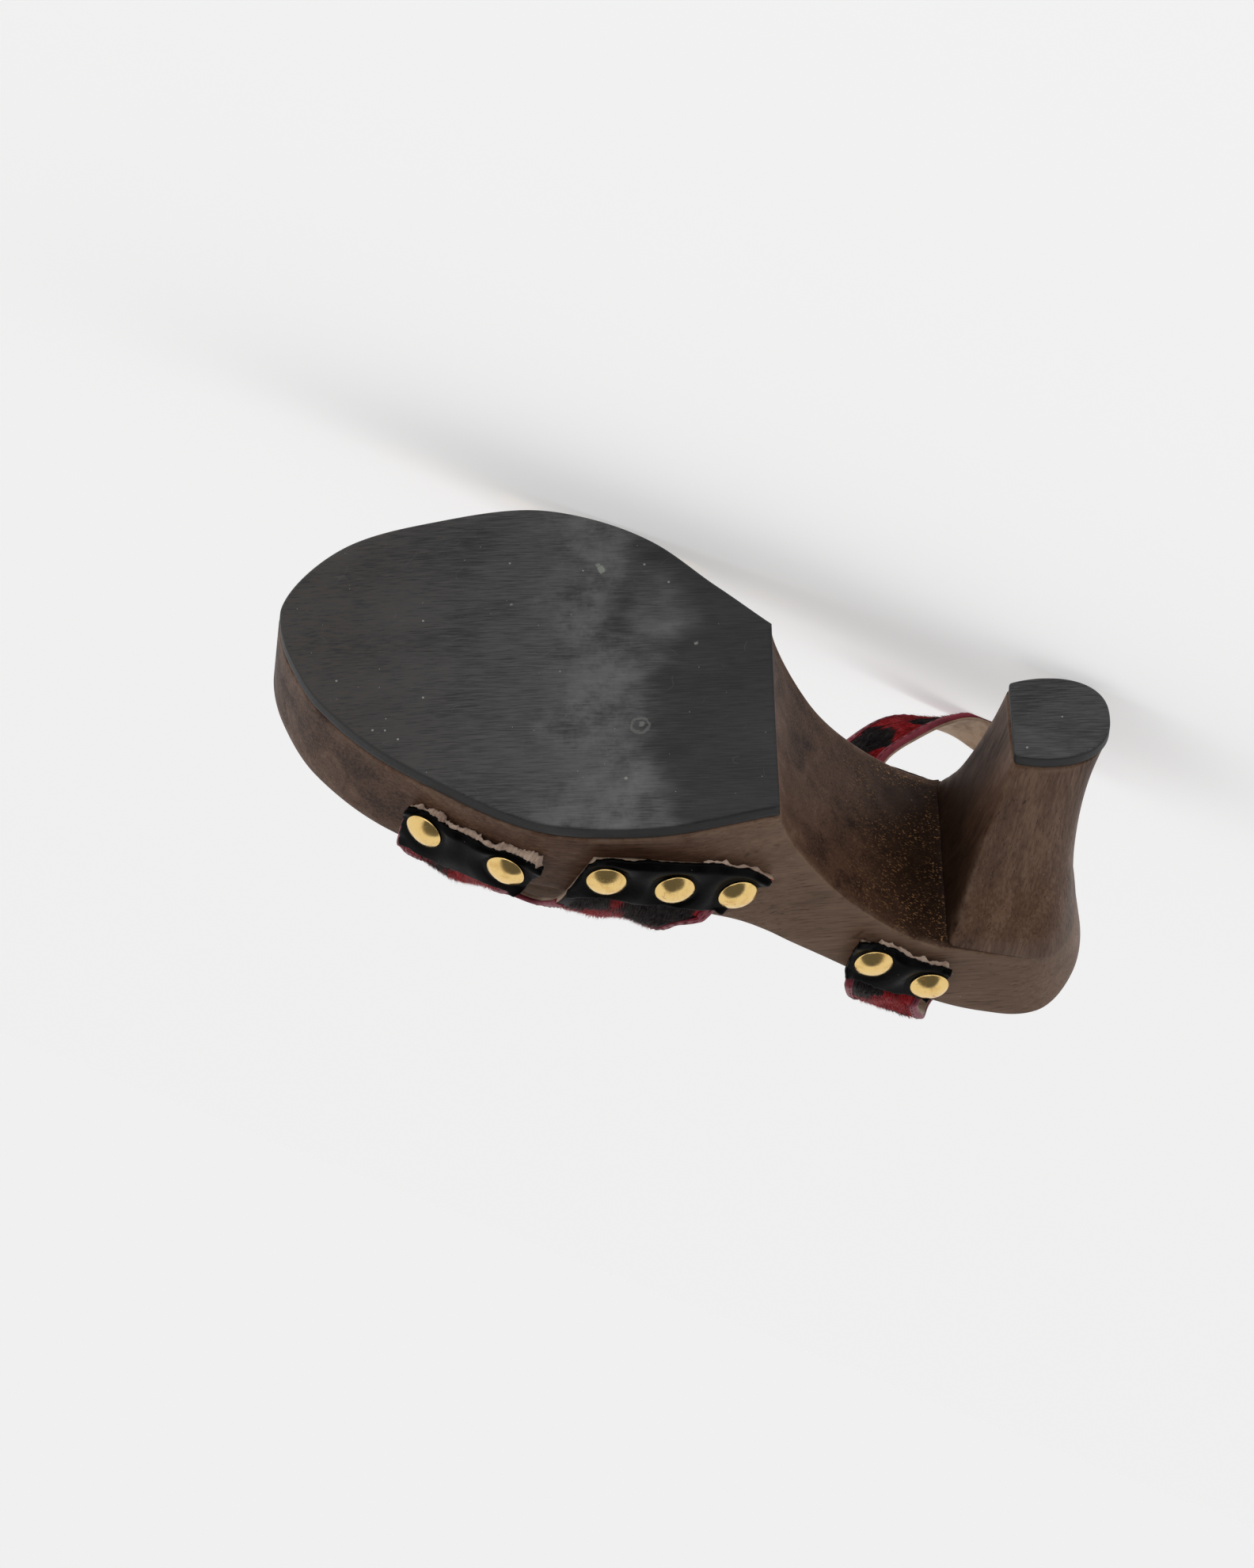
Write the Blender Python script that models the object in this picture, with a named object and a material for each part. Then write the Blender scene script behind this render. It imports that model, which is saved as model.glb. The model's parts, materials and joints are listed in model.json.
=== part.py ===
"""Heeled wooden clog sandal, right shoe, lying on its inner side.

The shoe is modelled in its own frame: X to the toe, Y to the inner side of the foot, Z from the ground to the
footbed, with the heel breast's foot at the origin. One empty then lays it on its inner side, where it balances.
"""

import math

import bmesh
import bpy
import numpy as np
from mathutils import Matrix, Vector

MM = 0.001

# Sole sizes
SOLE_LENGTH = 225.2 * MM
BALL_WIDTH = 111.9 * MM
SEAT_BACK = 24.5 * MM
HEEL_HEIGHT = 103.2 * MM
FOREPART_HEIGHT = 27.6 * MM
TOE_SPRING = 3.6 * MM
SEAT_THICKNESS = 26.2 * MM
WALL_DRAFT = 0.09
END_DRAFT = 0.14
RIM_ROUND = 1.6 * MM
FOOTBED_CUP = 2.6 * MM
FLAT_TREAD = 0.64

# Rubber
RUBBER_THICKNESS = 4.4 * MM
RUBBER_CUT = 62.8 * MM

# Arch hollow between the rubber's cut and the heel breast
BREAST_ROOT = 16.2 * MM
ARCH_EXPONENT = 1.4
SEAT_SLOPE = 0.3

# Heel block: greatest half width, and the outline's shares: where its sides turn into the round back, how far back
# its widest place lies, and the powers that round the back
SEAT_HALF = 0.243 * BALL_WIDTH
ROUND_SHARE = 0.72
WIDEST_BACK = 0.35
BACK_POWER = 0.9
SIDE_POWER = 0.82

# Leather
STRAP_THICKNESS = 1.8 * MM
PATCH_THICKNESS = 1.2 * MM
BAND_WIDTH = 17.0 * MM
VAMP_RISE_FRONT = 34.0 * MM
VAMP_RISE_BACK = 47.0 * MM
VAMP_EXPONENT = 1.6
BAND_RISE = 17.0 * MM
WALL_SHARE = 0.26

# Studs
STUD_RADIUS = 5.4 * MM
STUD_HEIGHT = 2.1 * MM

# Clearances
SEAM = 0.3 * MM
PATCH_SEAT = 0.4 * MM
STUD_SEAT = 0.4 * MM
EDGE_ROUND = 0.5 * MM

# Counts of sections and steps
SEAT_STATIONS = 10
ARCH_STATIONS = 11
FOREPART_STATIONS = 30
FOOTBED_STEPS = 8
HEEL_LEVELS = 12
HEEL_STEPS = 24
VAMP_ROWS = 45
VAMP_COLUMNS = 19
PATCH_ROWS = 9
BAND_POINTS = 5
STUD_STEPS = 16
STUD_LEVELS = 4

# Densities in kg/m3, for the balance on the side
WOOD_DENSITY = 600.0
RUBBER_DENSITY = 1200.0
LEATHER_DENSITY = 850.0
BRASS_DENSITY = 4200.0

LATERAL = -1
MEDIAL = 1

# Rim of the footbed. Columns: share of SOLE_LENGTH from the seat's back, share of BALL_WIDTH from the heel's axis
LATERAL_RIM = (
    (0.000, 0.000), (0.013, -0.134), (0.056, -0.246), (0.122, -0.270), (0.286, -0.266), (0.389, -0.266),
    (0.540, -0.300), (0.690, -0.262), (0.850, -0.084), (0.944, 0.101), (0.988, 0.272), (1.000, 0.402),
)
MEDIAL_RIM = (
    (0.000, 0.000), (0.013, 0.134), (0.056, 0.246), (0.122, 0.270), (0.286, 0.275), (0.344, 0.297),
    (0.451, 0.462), (0.526, 0.592), (0.606, 0.668), (0.690, 0.700), (0.806, 0.681), (0.905, 0.628),
    (0.972, 0.522), (1.000, 0.402),
)

# Height of the rim. Columns: share of SOLE_LENGTH from the seat's back, share of the drop from seat to ball
RIM_HEIGHTS = (
    (0.000, 1.000), (0.089, 0.984), (0.134, 0.943), (0.174, 0.892), (0.215, 0.819), (0.255, 0.733),
    (0.291, 0.653), (0.328, 0.558), (0.372, 0.442), (0.402, 0.349), (0.435, 0.257), (0.468, 0.188),
    (0.508, 0.119), (0.553, 0.058), (0.597, 0.019), (0.642, 0.003), (0.673, 0.000), (0.730, 0.011),
    (0.819, 0.042), (0.899, 0.075), (1.000, 0.111),
)

# Heel block. Columns: share of the height at the breast root, breast forward, half width at the breast's corners,
# greatest half width, back edge, sideways shift; lengths as shares of BREAST_ROOT, SEAT_HALF and SEAT_BACK
HEEL_SECTIONS = (
    (0.00, 0.00, 0.42, 0.475, 1.070, 0.05),
    (0.25, 0.20, 0.50, 0.545, 0.910, 0.04),
    (0.48, 0.44, 0.58, 0.610, 0.825, 0.02),
    (0.73, 0.68, 0.74, 0.745, 0.790, 0.01),
    (0.90, 0.85, 0.92, 0.920, 0.795, 0.00),
    (1.00, 1.00, 1.00, 1.005, 0.810, 0.00),
    (1.18, 1.10, 1.01, 1.010, 0.880, 0.00),
)

# Patches on the outer wall, repeated on the inner one, and their studs. Columns: share of the way from the breast's
# foot to the toe, depth below the rim as a share of FOREPART_HEIGHT. The four corners run from the ground side's
# front corner, by the rim, to the ground side's back corner
PATCH_CORNERS = {
    "toe": ((0.805, 0.674), (0.813, 0.124), (0.655, 0.021), (0.620, 0.478)),
    "instep": ((0.557, 0.696), (0.597, 0.129), (0.391, 0.270), (0.322, 1.057)),
    "heel": ((0.205, 0.696), (0.223, 0.065), (0.106, 0.166), (0.073, 0.756)),
}
STUD_SPOTS = {
    "toe": ((0.779, 0.441), (0.670, 0.307)),
    "instep": ((0.542, 0.424), (0.455, 0.482), (0.373, 0.584)),
    "heel": ((0.184, 0.434), (0.106, 0.416)),
}

# Edges of the vamp. Columns: share of the way from the tab's end (0) to the top (1), front edge, back edge,
# as shares of the way from the breast's foot to the toe
VAMP_EDGES = (
    (0.00, 0.805, 0.322), (0.15, 0.814, 0.391), (0.26, 0.818, 0.418), (0.36, 0.812, 0.452),
    (0.60, 0.785, 0.500), (1.00, 0.735, 0.515),
)

# Ends of the vamp's tabs, and the middle line of the arched notch between them. Columns as for the patches
TAB_ENDS = ((0.322, 1.104), (0.557, 0.741), (0.588, 0.568), (0.620, 0.524), (0.805, 0.716))
NOTCH_LINE = ((0.571, 0.887), (0.655, -0.294))
NOTCH_HALF = 0.33 * BAND_WIDTH

# Free part of the ankle band, from the outer side round the heel to the inner side. Columns: forward as a share of
# the way to the toe, inward as a share of BALL_WIDTH, height above the rim as a share of BAND_RISE, way from its
# front edge to its back edge, and width as a share of BAND_WIDTH
BAND_FOLDS = (
    (0.157, -0.237, 0.88, (-0.90, -0.15, 0.30), 1.24),
    (0.135, -0.143, 1.22, (-0.88, -0.45, -0.10), 1.06),
    (0.085, -0.027, 1.32, (-0.80, -0.40, -0.45), 1.00),
    (0.020, 0.107, 1.18, (-0.50, -0.40, -0.75), 1.00),
    (-0.040, 0.250, 0.81, (-0.20, -0.40, -0.88), 1.00),
    (-0.070, 0.393, 0.29, (0.10, -0.10, -0.98), 1.00),
    (-0.047, 0.509, -0.08, (0.05, 0.00, -1.00), 1.00),
    (0.002, 0.567, -0.18, (0.00, -0.10, -0.98), 1.00),
    (0.061, 0.586, -0.09, (-0.17, -0.52, -0.80), 0.97),
    (0.117, 0.552, 0.13, (-0.39, -0.70, -0.55), 1.00),
    (0.169, 0.474, 0.43, (-0.47, -0.80, -0.39), 1.00),
    (0.187, 0.375, 0.44, (-0.80, -0.50, 0.05), 1.12),
)

# Rows of the band where it lies on the wall, and the share of the patch's length that it fills on either side of the
# middle. Columns: share of the way from the patch's ground edge to its rim edge, lift off the wall
BAND_SEAT = ((-0.06, 0.0), (0.35, 0.0), (0.70, 0.0), (0.97, 0.0), (1.25, 1.2 * MM))
BAND_FILL = 0.44

LEATHER_RED = (0.33, 0.012, 0.016, 1.0)
WOOD_DARK = (0.085, 0.047, 0.030, 1.0)
WOOD_HEEL = (0.100, 0.056, 0.036, 1.0)
RUBBER_BLACK = (0.028, 0.028, 0.030, 1.0)
PATCH_BLACK = (0.012, 0.012, 0.013, 1.0)
BRASS_GOLD = (0.80, 0.55, 0.20, 1.0)


def smooth_step(low, high, value):
    """0 below low, 1 above high, and 3t^2 - 2t^3 between them."""
    t = min(max((value - low) / (high - low), 0.0), 1.0)
    return t * t * (3.0 - 2.0 * t)


def through_points(points, per_span):
    """Points of a smooth curve through the given ones, by cubic spans whose tangents join the neighbours."""
    rows = [np.array(point, float) for point in points]
    first = 2.0 * rows[0] - rows[1]
    last = 2.0 * rows[-1] - rows[-2]
    rows = [first] + rows + [last]
    curve = []
    for index in range(1, len(rows) - 2):
        before, start, end, after = rows[index - 1:index + 3]
        span = np.linalg.norm(end - start)
        lead = (end - before) * span / (span + np.linalg.norm(start - before))
        trail = (after - start) * span / (span + np.linalg.norm(after - end))
        for step in range(per_span):
            t = step / per_span
            curve.append(start * (2 * t**3 - 3 * t**2 + 1) + lead * (t**3 - 2 * t**2 + t)
                         + end * (3 * t**2 - 2 * t**3) + trail * (t**3 - t**2))
    curve.append(rows[-2])
    return np.array(curve)


def rim_curve(table):
    """The rim of one side in metres, from the seat's back to the toe's tip."""
    points = [(share * SOLE_LENGTH - SEAT_BACK, width * BALL_WIDTH) for share, width in table]
    mirrored = [(points[1][0], -points[1][1])] + points + [(points[-2][0], 2 * points[-1][1] - points[-2][1])]
    return through_points(mirrored, 16)[16:-16]


RIMS = {LATERAL: rim_curve(LATERAL_RIM), MEDIAL: rim_curve(MEDIAL_RIM)}
TOE_TIP = SOLE_LENGTH - SEAT_BACK
RIM_SLOPES = {
    side: np.clip(np.gradient(curve[:, 1], curve[:, 0] + 1e-9 * np.arange(len(curve))), -60.0, 60.0)
    for side, curve in RIMS.items()
}


def rim_at(x, side):
    """Width of the rim at x, and the way out of it in plan."""
    curve = RIMS[side]
    y = float(np.interp(x, curve[:, 0], curve[:, 1]))
    slope = float(np.interp(x, curve[:, 0], RIM_SLOPES[side]))
    return y, Vector((-slope * side, 1.0 * side)).normalized()


def draft_way(x, out, side):
    """Widening of the wall for each unit of height: to the side, but all round at the seat's back and the toe."""
    ends = max(smooth_step(0.60, 0.78, x / TOE_TIP), smooth_step(0.02, 0.6, -x / SEAT_BACK))
    sideways = WALL_DRAFT * (1.0 - ends)
    return Vector((END_DRAFT * ends * out.x, side * (END_DRAFT * ends * abs(out.y) + sideways)))


RIM_LINE = through_points(RIM_HEIGHTS, 6)


def rim_height(x):
    """Height of the footbed's rim above the ground plane."""
    drop = float(np.interp((x + SEAT_BACK) / SOLE_LENGTH, RIM_LINE[:, 0], RIM_LINE[:, 1]))
    return FOREPART_HEIGHT + drop * (HEEL_HEIGHT - FOREPART_HEIGHT)


def tread_height(x):
    """Height of the rubber's underside: flat to the ball, then a quadratic toe spring."""
    start = FLAT_TREAD * TOE_TIP
    return TOE_SPRING * max(0.0, (x - start) / (TOE_TIP - start)) ** 2


def breast_root_height():
    """Height of the line where the arch meets the heel breast."""
    return rim_height(BREAST_ROOT) - SEAT_THICKNESS


def underside_height(x):
    """Height of the wood's underside: forepart, arch as a superellipse, and the slanted seat joint."""
    if x >= RUBBER_CUT:
        return tread_height(x) + RUBBER_THICKNESS
    if x <= BREAST_ROOT:
        return breast_root_height() + SEAT_SLOPE * (BREAST_ROOT - x)
    along = (x - BREAST_ROOT) / (RUBBER_CUT - BREAST_ROOT)
    rise = (1.0 - along**ARCH_EXPONENT) ** (1.0 / ARCH_EXPONENT)
    return RUBBER_THICKNESS + rise * (breast_root_height() - RUBBER_THICKNESS)


def below_rim(forward, depth):
    """Forward and height in metres, from a share of TOE_TIP and a depth below the rim."""
    x = forward * TOE_TIP
    return x, rim_height(x) - depth * FOREPART_HEIGHT


def wall_point(x, height, side, out=0.0):
    """Point on the drafted side wall below the rim at x, moved out by a distance."""
    y, away = rim_at(x, side)
    point = Vector((x, y)) - draft_way(x, away, side) * (rim_height(x) - height) + away * out
    return Vector((point.x, point.y, height))


def new_mesh_object(name, verts, faces, colour, roughness, metallic=0.0):
    """An object with its own material, its faces turned outwards."""
    mesh = bpy.data.meshes.new(name)
    mesh.from_pydata([tuple(v) for v in verts], [], faces)
    shape = bmesh.new()
    shape.from_mesh(mesh)
    bmesh.ops.recalc_face_normals(shape, faces=shape.faces)
    shape.to_mesh(mesh)
    shape.free()
    piece = bpy.data.objects.new(name, mesh)
    bpy.context.collection.objects.link(piece)
    give_material(piece, colour, roughness, metallic)
    return piece


def give_material(piece, colour, roughness, metallic=0.0):
    """A Principled material of the piece's own."""
    material = bpy.data.materials.new(piece.name)
    material.use_nodes = True
    shader = material.node_tree.nodes["Principled BSDF"]
    shader.inputs["Base Color"].default_value = colour
    shader.inputs["Roughness"].default_value = roughness
    shader.inputs["Metallic"].default_value = metallic
    piece.data.materials.append(material)
    piece.data.shade_smooth()
    piece.data.set_sharp_from_angle(angle=math.radians(35))


def loft(name, rings, colour, roughness):
    """A solid through closed rings of equal length, with both ends capped."""
    count = len(rings[0])
    verts = [point for ring in rings for point in ring]
    faces = []
    for row in range(len(rings) - 1):
        for col in range(count):
            after = (col + 1) % count
            faces.append((row * count + col, row * count + after, (row + 1) * count + after, (row + 1) * count + col))
    last = (len(rings) - 1) * count
    faces.append(tuple(range(count)))
    faces.append(tuple(range(last, last + count)))
    return new_mesh_object(name, verts, faces, colour, roughness)


def quarter_sines(count):
    """Sines of a quarter turn in even steps, both ends included."""
    return [math.sin(0.5 * math.pi * step / count) for step in range(count + 1)]


def forepart_stations():
    """Stations from the rubber's cut to the toe, drawn together at the tip."""
    end = TOE_TIP - SEAM
    return [RUBBER_CUT + (end - RUBBER_CUT) * share for share in quarter_sines(FOREPART_STATIONS)]


def sole_stations():
    """Stations of the wooden sole, close together at the seat's back, in the steep arch and at the toe."""
    back = -SEAT_BACK + SEAM
    seat = [BREAST_ROOT - (BREAST_ROOT - back) * share for share in quarter_sines(SEAT_STATIONS)[:0:-1]]
    span = RUBBER_CUT - BREAST_ROOT
    arch = [BREAST_ROOT + span * share ** (2.0 / ARCH_EXPONENT) for share in quarter_sines(ARCH_STATIONS)[:-1]]
    return seat + arch + forepart_stations()


def sole_ring(x):
    """Section of the wooden sole: underside, wall, rounded rim and cupped footbed."""
    rim = rim_height(x)
    low = underside_height(x)
    edge = 0.3 * RIM_ROUND
    lateral = [wall_point(x, low, LATERAL), wall_point(x, rim - RIM_ROUND, LATERAL),
               wall_point(x, rim - edge, LATERAL, -edge)]
    medial = [wall_point(x, low, MEDIAL), wall_point(x, rim - RIM_ROUND, MEDIAL),
              wall_point(x, rim - edge, MEDIAL, -edge)]
    inner = [wall_point(x, rim, side, -RIM_ROUND) for side in (LATERAL, MEDIAL)]
    width = abs(inner[1].y - inner[0].y)
    cup = FOOTBED_CUP * min(1.0, width / (0.4 * BALL_WIDTH))
    top = []
    for share in np.linspace(0.0, 1.0, FOOTBED_STEPS + 1):
        point = inner[1].lerp(inner[0], share)
        point.z = rim - cup * (1.0 - (2.0 * share - 1.0) ** 2)
        top.append(point)
    under = [lateral[0].lerp(medial[0], share) for share in (0.25, 0.5, 0.75)]
    return [lateral[0]] + under + medial + top + lateral[:0:-1]


def build_wood_sole():
    """Platform, waist and heel seat in one block."""
    return loft("wood_sole", [sole_ring(x) for x in sole_stations()], WOOD_DARK, 0.55)


def build_outsole():
    """Rubber sheet under the forepart, flush with the drafted wall."""
    edge = EDGE_ROUND
    rings = []
    for x in forepart_stations():
        low = tread_height(x)
        high = low + RUBBER_THICKNESS - SEAM
        ring = []
        for side in (LATERAL, MEDIAL):
            corner = [wall_point(x, low, side, -edge), wall_point(x, low + edge, side), wall_point(x, high, side)]
            ring += corner[::-1] if side == LATERAL else corner
        rings.append(ring)
    return loft("outsole_forepart", rings, RUBBER_BLACK, 0.7)


def heel_section(height):
    """Breast, corner half width, greatest half width, back edge and sideways shift at a height."""
    share = height / breast_root_height()
    table = np.array(HEEL_SECTIONS)
    breast, corner, widest, back, shift = [float(np.interp(share, table[:, 0], table[:, col])) for col in range(1, 6)]
    return breast * BREAST_ROOT, corner * SEAT_HALF, widest * SEAT_HALF, -back * SEAT_BACK, shift * SEAT_HALF


def heel_outline(height, share):
    """Point of the D-shaped section: share runs from the outer corner round the back to the inner corner."""
    breast, corner, widest, back, shift = heel_section(height)
    middle = WIDEST_BACK * back
    side = 1 if share > 0.5 else -1
    along = abs(2.0 * share - 1.0)
    if along > ROUND_SHARE:
        front = (along - ROUND_SHARE) / (1.0 - ROUND_SHARE)
        return middle + front * (breast - middle), side * (widest - (widest - corner) * front**2) + shift
    turn = 0.5 * math.pi * along / ROUND_SHARE
    x = middle + (back - middle) * max(0.0, math.cos(turn)) ** BACK_POWER
    return x, side * widest * math.sin(turn) ** SIDE_POWER + shift


def build_heel_block():
    """Wooden heel with a flat slanting breast and a hollow D-shaped shaft."""
    rings = []
    low = RUBBER_THICKNESS
    for level in np.linspace(0.0, 1.0, HEEL_LEVELS + 1):
        ring = []
        for share in np.linspace(0.0, 1.0, HEEL_STEPS + 1):
            x, y = heel_outline(low, share)
            height = low
            for _ in range(4):
                height = low + (underside_height(min(x, BREAST_ROOT)) - SEAM - low) * level
                x, y = heel_outline(height, share)
            ring.append(Vector((x, y, height)))
        rings.append(ring)
    return loft("heel_block", rings, WOOD_HEEL, 0.5)


def build_top_lift():
    """Rubber top piece of the heel."""
    rings = []
    centre = Vector((-WIDEST_BACK * SEAT_BACK, 0.0))
    for height in (0.0, EDGE_ROUND, RUBBER_THICKNESS - SEAM):
        inset = EDGE_ROUND if height == 0.0 else 0.0
        ring = []
        for share in np.linspace(0.0, 1.0, HEEL_STEPS + 1):
            x, y = heel_outline(height, share)
            away = (Vector((x, y)) - centre).normalized() * inset
            ring.append(Vector((x - away.x, y - away.y, height)))
        rings.append(ring)
    return loft("heel_top_lift", rings, RUBBER_BLACK, 0.7)


def patch_spot(corners, along, across):
    """Forward and height in metres, at shares along and across a four-cornered patch."""
    front_low, front_high, back_high, back_low = [Vector(corner) for corner in corners]
    return below_rim(*front_low.lerp(back_low, along).lerp(front_high.lerp(back_high, along), across))


def shell(name, grid, thickness, colour, roughness):
    """A closed sheet of even thickness about a grid of middle points."""
    rows = len(grid)
    cols = len(grid[0])
    points = np.array([[tuple(point) for point in row] for row in grid])
    normals = np.cross(np.gradient(points, axis=0), np.gradient(points, axis=1))
    normals /= np.linalg.norm(normals, axis=2, keepdims=True)
    half = 0.5 * thickness
    verts = np.concatenate([(points + half * normals).reshape(-1, 3), (points - half * normals).reshape(-1, 3)])
    other = rows * cols
    faces = []
    for row in range(rows - 1):
        for col in range(cols - 1):
            here = row * cols + col
            quad = (here, here + 1, here + cols + 1, here + cols)
            faces.append(quad)
            faces.append(tuple(index + other for index in reversed(quad)))
    border = [col for col in range(cols)]
    border += [row * cols + cols - 1 for row in range(1, rows)]
    border += [(rows - 1) * cols + col for col in range(cols - 2, -1, -1)]
    border += [row * cols for row in range(rows - 2, 0, -1)]
    for here, after in zip(border, border[1:] + border[:1]):
        faces.append((here, after, after + other, here + other))
    return new_mesh_object(name, [tuple(v) for v in verts], faces, colour, roughness)


def build_patches():
    """Black leather patches over the strap ends, on both walls."""
    out = SEAM + STRAP_THICKNESS + PATCH_SEAT + 0.5 * PATCH_THICKNESS
    pieces = []
    for side, side_name in ((LATERAL, "outer"), (MEDIAL, "inner")):
        for place, corners in PATCH_CORNERS.items():
            grid = []
            for along in np.linspace(0.0, 1.0, PATCH_ROWS):
                spots = [patch_spot(corners, along, across) for across in (0.0, 0.5, 1.0)]
                grid.append([wall_point(x, height, side, out) for x, height in spots])
            pieces.append(shell(f"patch_{place}_{side_name}", grid, PATCH_THICKNESS, PATCH_BLACK, 0.35))
    return pieces


def wall_normal(x, height, side):
    """Way out of the wall at a point."""
    step = EDGE_ROUND
    forward = wall_point(x + step, height, side) - wall_point(x - step, height, side)
    upward = wall_point(x, height + step, side) - wall_point(x, height - step, side)
    normal = forward.cross(upward).normalized()
    return normal if normal.y * side > 0 else -normal


def build_studs():
    """Domed nails through the patches: each a spherical cap on a flat base."""
    out = SEAM + STRAP_THICKNESS + PATCH_SEAT + PATCH_THICKNESS + STUD_SEAT
    cap_radius = (STUD_RADIUS**2 + STUD_HEIGHT**2) / (2.0 * STUD_HEIGHT)
    reach = math.asin(STUD_RADIUS / cap_radius)
    rings = []
    for level in range(STUD_LEVELS):
        angle = reach * (1.0 - level / STUD_LEVELS)
        radius = cap_radius * math.sin(angle)
        height = cap_radius * math.cos(angle) - cap_radius + STUD_HEIGHT
        rings.append([Vector((radius * math.cos(turn), radius * math.sin(turn), height))
                      for turn in np.linspace(0.0, 2.0 * math.pi, STUD_STEPS + 1)[:-1]])
    verts = [point for ring in rings for point in ring] + [Vector((0.0, 0.0, STUD_HEIGHT))]
    faces = [tuple(range(STUD_STEPS))]
    after = [(turn + 1) % STUD_STEPS for turn in range(STUD_STEPS)]
    for low in range(0, (STUD_LEVELS - 1) * STUD_STEPS, STUD_STEPS):
        high = low + STUD_STEPS
        faces += [(low + turn, low + after[turn], high + after[turn], high + turn) for turn in range(STUD_STEPS)]
    top = len(verts) - 1
    last = top - STUD_STEPS
    faces += [(last + turn, last + after[turn], top) for turn in range(STUD_STEPS)]
    pieces = []
    for side, side_name in ((LATERAL, "outer"), (MEDIAL, "inner")):
        for place, spots in STUD_SPOTS.items():
            for index, spot in enumerate(spots, 1):
                stud = new_mesh_object(f"stud_{place}_{side_name}_{index}", verts, faces, BRASS_GOLD, 0.2, 1.0)
                x, height = below_rim(*spot)
                normal = wall_normal(x, height, side)
                base = wall_point(x, height, side) + normal * out
                stud.matrix_world = Matrix.Translation(base) @ normal.to_track_quat("Z", "Y").to_matrix().to_4x4()
                pieces.append(stud)
    return pieces


def vamp_point(share, across):
    """Middle of the vamp's leather. share runs from outer tab (-1) over the top (0) to inner tab (1)."""
    side = LATERAL if share < 0 else MEDIAL
    up = 1.0 - abs(share)
    edges = np.array(VAMP_EDGES)
    front = float(np.interp(up, edges[:, 0], edges[:, 1]))
    back = float(np.interp(up, edges[:, 0], edges[:, 2]))
    x = TOE_TIP * (front + (back - front) * across)
    rim = rim_height(x)
    out = SEAM + 0.5 * STRAP_THICKNESS
    if up < WALL_SHARE:
        ends = np.array(TAB_ENDS)
        low = rim - FOREPART_HEIGHT * float(np.interp(x / TOE_TIP, ends[:, 0], ends[:, 1]))
        return wall_point(x, low + (rim - low) * up / WALL_SHARE, side, out)
    start = wall_point(x, rim, side, out)
    other = wall_point(x, rim, -side, out)
    centre = 0.5 * (start + other)
    rise = VAMP_RISE_FRONT + (VAMP_RISE_BACK - VAMP_RISE_FRONT) * across
    turn = 0.5 * math.pi * (up - WALL_SHARE) / (1.0 - WALL_SHARE)
    power = 2.0 / VAMP_EXPONENT
    width = max(0.0, math.cos(turn)) ** power
    return Vector((x, centre.y + (start.y - centre.y) * width, rim + rise * math.sin(turn) ** power))


def build_vamp():
    """Hollow vamp, open at the toe, throat and underneath, with a notch between the tabs of each side."""
    shares = np.linspace(-1.0, 1.0, VAMP_ROWS)
    grid = [[vamp_point(share, across) for across in np.linspace(0.0, 1.0, VAMP_COLUMNS)] for share in shares]
    vamp = shell("vamp_upper", grid, STRAP_THICKNESS, LEATHER_RED, 0.8)
    notch = build_notch_cutter()
    cut = vamp.modifiers.new("notches", "BOOLEAN")
    cut.operation = "DIFFERENCE"
    cut.solver = "EXACT"
    cut.object = notch
    return [vamp, notch]


def build_notch_cutter():
    """Slanted arch-shaped bar through both sides of the vamp, between the tabs."""
    foot, top = [Vector(below_rim(*spot)) for spot in NOTCH_LINE]
    along = (top - foot).normalized() * NOTCH_HALF
    beside = Vector((along.y, -along.x))
    outline = [foot - beside, foot + beside]
    for turn in np.linspace(0.0, math.pi, 9):
        outline.append(top + beside * math.cos(turn) + along * math.sin(turn))
    rings = [[Vector((point.x, y, point.y)) for point in outline] for y in (-BALL_WIDTH, BALL_WIDTH)]
    cutter = loft("notch_cutter", rings, LEATHER_RED, 0.8)
    cutter.hide_render = True
    cutter.display_type = "WIRE"
    return cutter


def band_end(side):
    """Rows of points across the band where it lies on the wall, from its raw end to just past the patch."""
    rows = []
    shares = np.linspace(0.5 - BAND_FILL, 0.5 + BAND_FILL, BAND_POINTS)
    for across, lift in BAND_SEAT:
        spots = [patch_spot(PATCH_CORNERS["heel"], along, across) for along in shares]
        rows.append([wall_point(x, height, side, SEAM + 0.5 * STRAP_THICKNESS + lift) for x, height in spots])
    return rows


def build_ankle_band():
    """Band from patch to patch, slack towards the inner side."""
    rows = band_end(LATERAL)
    for forward, inward, rise, across, width in BAND_FOLDS:
        x = forward * TOE_TIP
        middle = Vector((x, inward * BALL_WIDTH, rim_height(x) + rise * BAND_RISE))
        half = Vector(across).normalized() * 0.5 * width * BAND_WIDTH
        rows.append([middle + half * share for share in np.linspace(-1.0, 1.0, BAND_POINTS)])
    rows += reversed(band_end(MEDIAL))
    lines = [through_points([tuple(row[index]) for row in rows], 3) for index in range(BAND_POINTS)]
    grid = [[Vector(line[step]) for line in lines] for step in range(len(lines[0]))]
    return shell("ankle_band", grid, STRAP_THICKNESS, LEATHER_RED, 0.8)


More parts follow.
